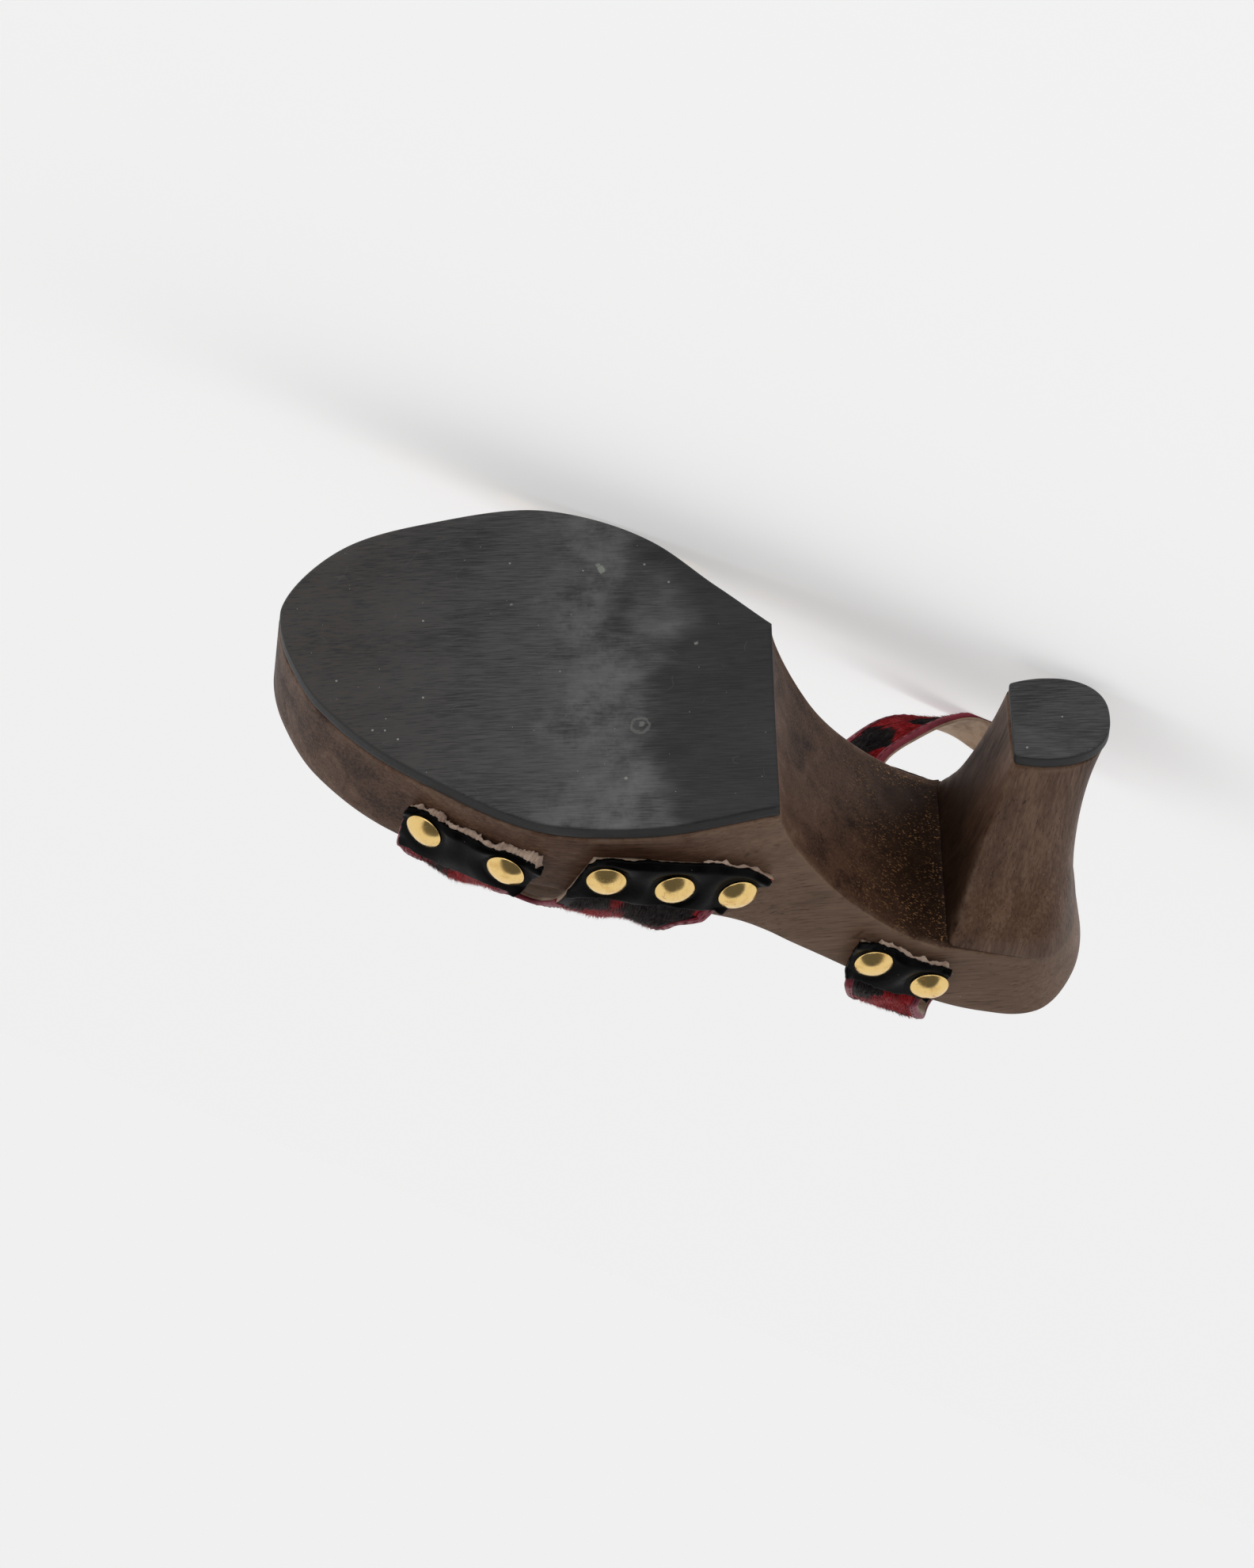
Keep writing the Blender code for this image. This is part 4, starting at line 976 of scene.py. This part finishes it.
def newSheet(name, grid, normals, thickness, keep, node, materials, spotted=False):
    # a sheet with an outer face, an inner face and a cut edge; points that no kept quad uses are left out
    half = 0.5 * thickness * normals
    points = np.concatenate([(grid + half).reshape(-1, 3), (grid - half).reshape(-1, 3)])
    faces, slots = shellFaces(*grid.shape[:2], keep)
    used = np.unique(faces)
    renumber = np.zeros(len(points), int)
    renumber[used] = np.arange(len(used))
    masks, uv = {}, None
    if spotted:
        masks = {"spot": spotMask(points[used])}
        uv = np.tile(strapUv(grid).reshape(-1, 2), (2, 1))[used]
    newPiece(name, points[used], renumber[faces], (node,), materials, slots, masks, uv)


def buildHair(name, grid, normals, count, seed, length, lay, allowed):
    # short hairs: each is a thin three-sided spike that leans along the strap
    rng = np.random.default_rng(seed)
    ways = np.gradient(grid, axis=0)
    ways /= np.linalg.norm(ways, axis=2, keepdims=True)
    area = np.linalg.norm(np.cross(np.diff(grid, axis=0)[:, :-1], np.diff(grid, axis=1)[:-1]), axis=2)
    area = area * allowed
    picked = rng.choice(area.size, count, p=(area / area.sum()).ravel())
    row, col = np.divmod(picked, area.shape[1])
    shareRow, shareCol = rng.random((2, count))

    def at(values):
        low = values[row, col] * (1 - shareCol)[:, None] + values[row, col + 1] * shareCol[:, None]
        high = values[row + 1, col] * (1 - shareCol)[:, None] + values[row + 1, col + 1] * shareCol[:, None]
        return low * (1 - shareRow)[:, None] + high * shareRow[:, None]

    base, normal, way = at(grid), at(normals), at(ways)
    normal /= np.linalg.norm(normal, axis=1, keepdims=True)
    side = np.cross(normal, way)
    base = base + normal * (0.5 * leather["thickness"] - 0.0001)
    turn = lay + 0.30 * wobble(base, 0.012, seed + 1) + rng.normal(0.0, hairSizes["turnSpread"], count)
    heading = way * np.cos(turn)[:, None] + side * np.sin(turn)[:, None]
    lift = hairSizes["lift"] + rng.normal(0.0, hairSizes["liftSpread"], count)
    lift = np.radians(np.clip(lift + 5.0 * wobble(base, 0.006, seed + 2), 3.0, 60.0))
    size = length * rng.uniform(0.65, 1.15, count)
    tip = base + (heading * np.cos(lift)[:, None] + normal * np.sin(lift)[:, None]) * size[:, None]
    across = np.cross(normal, heading)
    wide = hairSizes["radius"] * rng.uniform(0.8, 1.3, count)[:, None]
    corners = [base + across * wide, base - across * wide, base + normal * wide * 1.4]
    points = np.stack(corners + [tip], axis=1).reshape(-1, 3)
    here = 4 * np.arange(count)[:, None]
    faces = np.concatenate([here + np.array(face) for face in ((0, 1, 3), (1, 2, 3), (2, 0, 3), (0, 2, 1))])
    masks = {"spot": np.repeat(spotMask(base), 4)}
    uv = np.repeat(at(strapUv(grid)), 4, axis=0)
    newPiece(name, points, faces, (), (hairStrand,), masks=masks, uv=uv)


def buildBinding(name, line, inward, normal, width):
    # a folded leather binding along an edge: its section, in ways inward and outward, is a thin strip that
    # rolls over the edge
    half, thick = 0.5 * leather["thickness"], trimSizes["thick"]
    section = np.array((
        (width, half + 0.1 * thick), (0.93 * width, half + 0.9 * thick), (0.75 * width, half + thick),
        (0.45 * width, half + 1.05 * thick), (0.15 * width, half + 0.9 * thick), (0.0, half + 0.55 * thick),
        (-0.10 * width, half), (-0.12 * width, half - 0.0006), (-0.02 * width, half - 0.0010),
        (0.25 * width, half - 0.0006)))
    ripple = 1.0 + 0.12 * wobble(line, 0.006, 21)
    grid = (line[:, None] + inward[:, None] * (section[None, :, :1] * ripple[:, None, None])
            + normal[:, None] * section[None, :, 1:])
    newSolid(name, grid, (), berryBinding)


def buildStitches(name, line, normal, way):
    # thread: a row of small capsules, one every step along the line, each turned along it
    step, length, radius = trimSizes["threadStep"], trimSizes["threadLength"], trimSizes["threadRadius"]
    place = np.concatenate([[0.0], np.cumsum(np.linalg.norm(np.diff(line, axis=0), axis=1))])
    spots = np.arange(0.5 * step, place[-1], step)

    def at(values):
        return np.stack([np.interp(spots, place, values[:, k]) for k in range(3)], axis=1)

    centre, up, ahead = at(line), at(normal), at(way)
    beside = np.cross(up, ahead)
    angle = np.linspace(0.0, 2.0 * math.pi, 7)[:-1]
    rings = []
    for share, swell in ((-0.5, 0.25), (-0.36, 0.9), (0.0, 1.0), (0.36, 0.9), (0.5, 0.25)):
        sunk = (np.sin(angle) * swell - 0.25 - 1.2 * abs(share)) * radius
        rings.append(centre[:, None] + ahead[:, None] * share * length
                     + beside[:, None] * (np.cos(angle) * radius * swell)[None, :, None]
                     + up[:, None] * sunk[None, :, None])
    points = np.stack(rings, axis=1)
    ends = [(0, 1, 2, 3), (0, 3, 4, 5), (27, 26, 25, 24), (29, 28, 27, 24)]
    capsule = np.concatenate([tubeFaces(5, 6), ends])
    faces = (capsule[None] + 30 * np.arange(len(spots))[:, None, None]).reshape(-1, 4)
    newPiece(name, points.reshape(-1, 3), faces, (), (redThread,))


def edgeFrame(line, towards, surface):
    # ways along the line, inward over the surface and out of it, for a binding
    way = np.gradient(line, axis=0)
    way /= np.linalg.norm(way, axis=1, keepdims=True)
    normal = surface - way * np.einsum("ij,ij->i", surface, way)[:, None]
    normal /= np.linalg.norm(normal, axis=1, keepdims=True)
    inward = np.cross(normal, way)
    flip = np.sign(np.einsum("ij,ij->i", inward, towards))
    return way, inward * np.where(flip == 0, 1.0, flip)[:, None], normal


def bindEdge(name, line, towards, surface, width, rowsOfThread):
    # a binding and its rows of thread, each at its share of the binding's width
    way, inward, normal = edgeFrame(line, towards, surface)
    buildBinding(name + "Binding", line, inward, normal, width)
    for index, share in enumerate(rowsOfThread):
        lift = 0.5 * leather["thickness"] + trimSizes["threadLift"]
        buildStitches(f"{name}Stitches{index}", line + inward * share * width + normal * lift, normal, way)


def outwardNormals(grid, inside):
    # the grid's normals, turned away from a point inside the loop that it makes
    normals = gridNormals(grid)
    return normals * np.sign(np.einsum("ijk,ijk->ij", normals, grid - np.array(inside)).mean())


def onLeather(outline, grid, normals):
    # an outline in side view set on the leather: the mean of the six nearest grid points, by squared distance
    flatPoints = grid[..., [0, 2]].reshape(-1, 2)
    gaps = ((outline[:, None] - flatPoints[None]) ** 2).sum(axis=2)
    near = np.argsort(gaps, axis=1)[:, :6]
    weight = 1.0 / (np.take_along_axis(gaps, near, axis=1) + 1e-8)
    weight /= weight.sum(axis=1, keepdims=True)
    depth = (grid[..., 1].ravel()[near] * weight).sum(axis=1)
    depth = np.convolve(np.pad(depth, 4, mode="edge"), np.ones(9) / 9.0, mode="valid")
    surface = (normals.reshape(-1, 3)[near] * weight[..., None]).sum(axis=1)
    return np.stack([outline[:, 0], depth, outline[:, 1]], axis=1), surface


def bindNotches(grid, normals):
    # each notch's outline in side view: two legs and a half circle over them
    foot, top = [np.array(belowRim(*spot)) for spot in notchLine]
    way = (top - foot) / np.linalg.norm(top - foot)
    half = leather["notchHalf"] * leather["bandWidth"]
    beside = half * np.array((way[1], -way[0]))
    turn = np.linspace(0.0, math.pi, 40)[:, None]
    legs = foot + (top - foot) * np.linspace(leather["notchLegs"], 1.0, 12)[:-1, None]
    arch = top + beside * np.cos(turn) + way * half * np.sin(turn)
    outline = np.concatenate([legs + beside, arch, (legs - beside)[::-1]])
    centre = 0.5 * (foot + top)
    middleRow = leather["vampRows"] // 2
    for name, rows in (("notchOuter", slice(None, middleRow)), ("notchInner", slice(middleRow, None))):
        line, surface = onLeather(outline, grid[rows], normals[rows])
        towards = (line - np.array((centre[0], 0.0, centre[1]))) * np.array((1.0, 0.0, 1.0))
        bindEdge(name, line, towards, surface, trimSizes["notchWidth"], (0.75,))


def buildVamp():
    grid = vampGrid()
    normals = outwardNormals(grid, (0.125, 0.025, 0.035))
    away, ways = notchDistance(grid)
    flat = ways - normals * np.einsum("ijk,ijk->ij", ways, normals)[..., None]
    flat /= np.maximum(np.linalg.norm(flat, axis=2, keepdims=True), 0.3)
    snapped = grid - flat * np.where(np.abs(away) < leather["snap"], away, 0.0)[..., None]
    left = notchDistance(snapped)[0]
    centre = 0.25 * (left[:-1, :-1] + left[1:, :-1] + left[:-1, 1:] + left[1:, 1:])
    snappedNormals = outwardNormals(snapped, (0.125, 0.025, 0.035))
    newSheet("hairVamp", snapped, snappedNormals, leather["thickness"], centre > 0.00005, "vamp_upper",
             (hairCoat, tanLining, creamEdge), True)
    # hair keeps clear of the bindings and the notch, and is thin under the patches
    allowed = (centre > leather["edgeClear"]) * 1.0
    allowed[:, :hairSizes["bare"]] = 0.0
    allowed[:, -hairSizes["bare"]:] = 0.0
    rows = np.arange(len(allowed))
    tabs = np.minimum(rows, len(allowed) - rows) < 0.06 * len(allowed)
    allowed = allowed * np.where(tabs, 0.4, 1.0)[:, None]
    count = hairSizes["vampCount"]
    buildHair("hairVampCoat", grid, normals, count, 31, hairSizes["vampLength"], 0.2, allowed)
    inner = grid[4:-4]
    for name, col, inside in (("vampToe", 0, 3), ("vampThroat", -1, -4)):
        line = inner[:, col]
        bindEdge(name, line, inner[:, inside] - line, normals[4:-4, col], trimSizes["vampWidth"], (0.42, 0.80))
    bindNotches(grid, normals)


def bandEnd(side):
    # rows of five points on the wall, from under the heel patch up to the rim
    rows = []
    for across, lift in bandSeat:
        x, height = patchSpot(patchCorners["heel"], np.linspace(0.06, 0.94, 5), np.full(5, across))
        rows.append(wallPoint(x, height, side, sole["seam"] + 0.5 * leather["thickness"] + lift))
    return rows


def bandGrid():
    # smooth surface through rows of five points: both ends on the walls, and the folds between them
    rows = bandEnd(lateral)
    for forward, inward, rise, across, width in bandFolds:
        x = forward * toeTip
        middle = np.array((x, inward * sole["ballWidth"], float(rimHeight(x)) + rise * leather["bandRise"]))
        way = np.array(across) / np.linalg.norm(across)
        rows.append(middle + way * 0.5 * width * leather["bandWidth"] * np.linspace(-1.0, 1.0, 5)[:, None])
    rows += bandEnd(medial)[::-1]
    perSpan, perAcross = leather["bandSteps"]
    grid = throughPoints(np.array(rows), perSpan)
    grid = np.swapaxes(throughPoints(np.swapaxes(grid, 0, 1), perAcross), 0, 1)
    # a slight curl across the free part, and soft kinks
    along = np.linspace(0.0, 1.0, grid.shape[0])[:, None]
    free = smoothStep(0.16, 0.28, along) * smoothStep(0.84, 0.72, along)
    across = np.linspace(-1.0, 1.0, grid.shape[1])[None, :]
    bend = free * (0.0007 * (1.0 - across**2) + 0.0005 * wobble(grid, 0.022, 17))
    return grid, bend


def buildBand():
    grid, bend = bandGrid()
    middle = (0.010, 0.020, 0.085)
    grid = grid + outwardNormals(grid, middle) * bend[..., None]
    normals = outwardNormals(grid, middle)
    allowed = np.ones((grid.shape[0] - 1, grid.shape[1] - 1))
    newSheet("hairAnkleBand", grid, normals, leather["thickness"], allowed > 0.0, "ankle_band",
             (hairCoat, tanLining, creamEdge), True)
    allowed[:, :4] = 0.0
    allowed[:, -4:] = 0.0
    count = hairSizes["bandCount"]
    buildHair("hairAnkleCoat", grid, normals, count, 41, hairSizes["bandLength"], 0.1, allowed)
    free = slice(leather["bandStart"], -leather["bandStart"])
    for name, col, inside in (("bandFront", 0, 3), ("bandBack", -1, -4)):
        line = grid[free, col]
        bindEdge(name, line, grid[free, inside] - line, normals[free, col], trimSizes["bandWidth"], (0.66,))


buildVamp()
print("vamp built")
buildBand()
print("ankle band built")


# patches and nails
patchLook = {
    "rows": 110, "cols": 44, "droop": 0.0011, "curl": 0.0012, "dent": 0.0006, "ragged": 0.00020, "pull": 0.014,
    "wave": 0.00035, "swell": 0.0003, "dentNear": 0.0050, "dentFar": 0.0082, "swellAt": 0.0098,
    "swellWide": 0.0022,
}
frayLook = {
    # share of the ground edge where suede peeps out, its reach past the edge and its thickness in metres
    "toe": (0.02, 0.99, 0.00125, 0.00085), "instep": (0.60, 0.97, 0.0006, 0.0005),
    "heel": (0.22, 0.97, 0.0011, 0.0007), "count": 260,
}
studShape = {"radius": 0.0054, "height": 0.0021, "sunk": 0.00035, "wear": 0.00007}
sideNames = {lateral: "Outer", medial: "Inner"}


def wallNormal(x, height, side):
    # from differences of the wall over a millimetre
    step = 0.0005
    forward = wallPoint(x + step, height, side) - wallPoint(x - step, height, side)
    upward = wallPoint(x, height + step, side) - wallPoint(x, height - step, side)
    normal = np.cross(forward, upward)
    normal /= np.linalg.norm(normal, axis=-1, keepdims=True)
    return normal * np.where(normal[..., 1:2] * side > 0, 1.0, -1.0)


def buildPatch(place, side):
    # black leather over the strap's end: ragged cut edges, lifted corners, and dents round the nails
    corners = patchCorners[place]
    seed = 60 + 7 * list(patchCorners).index(place) + (0 if side == lateral else 3)
    rows, cols = patchLook["rows"], patchLook["cols"]
    along, across = np.meshgrid(np.linspace(0.0, 1.0, rows), np.linspace(0.0, 1.0, cols), indexing="ij")
    flat = wallPoint(*patchSpot(corners, along, across), side)
    lengthway = np.linalg.norm(flat[-1, cols // 2] - flat[0, cols // 2])
    crossway = np.linalg.norm(flat[rows // 2, -1] - flat[rows // 2, 0])
    rag = patchLook["ragged"] * (wobble(flat, 0.009, seed) + 0.6 * wobble(flat, 0.0024, seed + 1))
    along = along + rag / lengthway * (smoothStep(0.93, 1.0, along) - smoothStep(0.07, 0.0, along))
    across = across + rag / crossway * (smoothStep(0.88, 1.0, across) - smoothStep(0.12, 0.0, across))
    # corners rounded by pulling them in along the length, and lifted a little off the strap
    end = np.abs(2.0 * along - 1.0)
    edge = np.abs(2.0 * across - 1.0)
    pull = patchLook["pull"] * smoothStep(0.72, 1.0, end) * smoothStep(0.72, 1.0, edge)
    along = along - np.sign(along - 0.5) * pull
    x, height = patchSpot(corners, along, across)
    base = wallPoint(x, height, side)
    curled = smoothStep(0.80, 1.0, end) * smoothStep(0.55, 1.0, edge)
    lift = patchLook["wave"] * wobble(base, 0.016, seed + 2)
    lift += patchLook["curl"] * curled * (0.55 + 0.45 * wobble(base, 0.02, seed + 3))
    for spot in studSpots[place]:
        gap = np.linalg.norm(base - wallPoint(*belowRim(*spot), side), axis=2)
        lift -= patchLook["dent"] * smoothStep(patchLook["dentFar"], patchLook["dentNear"], gap)
        lift += patchLook["swell"] * np.exp(-((gap - patchLook["swellAt"]) / patchLook["swellWide"]) ** 2)
    lift = np.maximum(lift, -patchLook["wave"]) - patchLook["droop"] * smoothStep(0.12, 0.0, across)
    seat = sole["seam"] + leather["thickness"] + leather["patchSeat"] + 0.5 * leather["patchThickness"]
    grid = wallPoint(x, height, side, seat + lift)
    normals = gridNormals(grid)
    normals = normals * np.sign(side * normals[..., 1].mean())
    newSheet(f"patch{place.capitalize()}{sideNames[side]}", grid, normals, leather["patchThickness"],
             np.ones((rows - 1, cols - 1), bool), f"patch_{place}_{sideNames[side].lower()}",
             (blackPatch, rawSuede, blackPatch))
    buildFray(place, side, grid, normals, seed)


def buildFray(place, side, grid, normals, seed):
    # torn suede along the patch's ground edge: a lumpy roll whose radius follows noise
    start, stop, reach, thick = frayLook[place]
    fine = np.linspace(start, stop, frayLook["count"]) * (len(grid) - 1)
    index = np.minimum(np.floor(fine).astype(int), len(grid) - 2)
    part = (fine - index)[:, None]
    edge = grid[index, 0] * (1 - part) + grid[index + 1, 0] * part
    inner = grid[index, 3] * (1 - part) + grid[index + 1, 3] * part
    out = edge - inner
    out /= np.linalg.norm(out, axis=1, keepdims=True)
    along = np.linspace(0.0, 1.0, frayLook["count"])
    lump = 0.62 + 0.38 * wobble(edge, 0.0035, seed + 9) + 0.16 * wobble(edge, 0.0011, seed + 10)
    if place == "toe":
        lump = lump + 0.75 * smoothStep(0.80, 0.90, along)
    ends = smoothStep(0.0, 0.04, along) * smoothStep(1.0, 0.97, along)
    size = (np.maximum(lump, 0.18) * ends + 0.03)[:, None]
    angle = np.linspace(0.0, 2.0 * math.pi, 15)[:-1]
    rough = 1.0 + 0.22 * wobble(edge[:, None] + 0.004 * angle[None, :, None], 0.0016, seed + 11)
    centre = edge + out * (0.25 * reach) - normals[index, 0] * 0.0007
    roll = (centre[:, None] + out[:, None] * (np.cos(angle) * rough * reach * size)[..., None]
            + normals[index, 0][:, None] * (np.sin(angle) * rough * thick * size)[..., None])
    newSolid(f"tornSuede{place.capitalize()}{sideNames[side]}", roll, (), rawSuede)


def buildStud(place, side, index, spot):
    # domed nail head: a spherical cap turned about the wall's normal, with a short skirt under it
    x, height = belowRim(*spot)
    normal = wallNormal(x, height, side)
    out = sole["seam"] + leather["thickness"] + 2 * leather["patchSeat"] + leather["patchThickness"]
    base = wallPoint(x, height, side) + normal * (out - studShape["sunk"])
    radius, dome = studShape["radius"], studShape["height"]
    capRadius = (radius**2 + dome**2) / (2.0 * dome)
    angle = np.linspace(1.0, 0.0, 20) * math.asin(radius / capRadius)
    skirt = [radius - 0.0012, radius - 0.0002, radius + 0.00004]
    profileR = np.concatenate([skirt, np.maximum(capRadius * np.sin(angle), 0.00002)])[:, None]
    profileH = np.concatenate([[-0.0006, -0.0005, -0.00015], capRadius * (np.cos(angle) - 1.0) + dome])
    turn = np.linspace(0.0, 2.0 * math.pi, 65)[:-1]
    ahead = np.array((1.0, 0.0, 0.0)) - normal * normal[0]
    ahead /= np.linalg.norm(ahead)
    beside = np.cross(normal, ahead)
    grid = (base + ahead * (profileR * np.cos(turn))[..., None]
            + beside * (profileR * np.sin(turn))[..., None] + normal * profileH[:, None, None])
    seed = 200 + 10 * index + (0 if side == lateral else 5) + 31 * len(place)
    grid = grid + normal * (studShape["wear"] * wobble(grid, 0.007, seed))[..., None]
    newSolid(f"nailHead{place.capitalize()}{sideNames[side]}{index}", grid,
             (f"stud_{place}_{sideNames[side].lower()}_{index}",), gold)


for wallSide in (lateral, medial):
    for placeName in patchCorners:
        buildPatch(placeName, wallSide)
        for number, studSpot in enumerate(studSpots[placeName], 1):
            buildStud(placeName, wallSide, number, studSpot)
print("patches and nails built")

# floor, light and camera; the view is worked out in the shoe's frame
studio = {
    "floorHalf": 6.0, "floorTone": (0.60, 0.60, 0.60), "floorGlow": 0.487, "sky": (0.871, 0.871, 0.871),
    "shade": (0.12, 0.12, 0.12), "shadeWay": (-0.26, -0.74, 0.62), "front": 3.0,
}
view = {
    "right": (-0.99982, -0.0180, 0.0190), "forward": (0.0060, 0.5580, 0.8298),
    "centre": (0.0958, -0.6677, -0.9685), "focalPixels": 5600.0, "heightPixels": 1980.0, "sensor": 36.0,
}


def buildFloor():
    half = studio["floorHalf"]
    mesh = bpy.data.meshes.new("studioFloor")
    corners = [(-half, -half, 0.0), (half, -half, 0.0), (half, half, 0.0), (-half, half, 0.0)]
    mesh.from_pydata(corners, [], [(0, 1, 2, 3)])
    floor = bpy.data.objects.new("studioFloor", mesh)
    bpy.context.collection.objects.link(floor)
    mesh.materials.append(newMaterial("paleFloor", {
        "Base Color": studio["floorTone"], "Roughness": 1.0, "Specular IOR Level": 0.0,
        "Emission Color": (1.0, 1.0, 1.0), "Emission Strength": studio["floorGlow"]})[0])


def buildSky():
    # an even pale sky, darker in one soft patch above the camera's side that the domed nails reflect
    world = bpy.data.worlds.new("studioSky")
    bpy.context.scene.world = world
    world.use_nodes = True
    tree = world.node_tree
    place = addNode(tree, "ShaderNodeTexCoord").outputs["Generated"]
    inputs = {0: place, 1: studio["shadeWay"]}
    towards = addNode(tree, "ShaderNodeVectorMath", inputs, operation="DOT_PRODUCT").outputs["Value"]
    colour = layOver(tree, studio["sky"], studio["shade"], rangeOf(tree, towards, 0.62, 0.78))
    setSockets(tree, tree.nodes["Background"], {"Color": colour})


def buildLight(name, place, target, size, power):
    data = bpy.data.lights.new(name, "AREA")
    data.shape = "RECTANGLE"
    data.size, data.size_y = size
    data.energy = power
    lamp = bpy.data.objects.new(name, data)
    bpy.context.collection.objects.link(lamp)
    lamp.location = place
    lamp.rotation_euler = (Vector(target) - Vector(place)).to_track_quat("-Z", "Y").to_euler()


def buildCamera():
    # three ways at right angles to each other, made from the photograph's view
    right = axes @ np.array(view["right"])
    forward = axes @ np.array(view["forward"])
    forward /= np.linalg.norm(forward)
    right -= forward * (right @ forward)
    right /= np.linalg.norm(right)
    up = np.cross(right, forward)
    turn = Matrix(np.stack([right, up, -forward], axis=1).tolist())
    data = bpy.data.cameras.new("photoCamera")
    data.sensor_width = view["sensor"]
    data.lens = view["sensor"] * view["focalPixels"] / view["heightPixels"]
    data.clip_start = 0.01
    camera = bpy.data.objects.new("photoCamera", data)
    bpy.context.collection.objects.link(camera)
    camera.matrix_world = Matrix.Translation(Vector(toWorld(view["centre"]))) @ turn.to_4x4()
    bpy.context.scene.camera = camera


buildFloor()
buildSky()
buildLight("frontSoftbox", (0.25, -1.9, 0.35), (0.0, 0.0, 0.05), (1.6, 0.6), studio["front"])
buildCamera()
bpy.context.scene.view_settings.view_transform = "Standard"
print("floor, light and camera set")
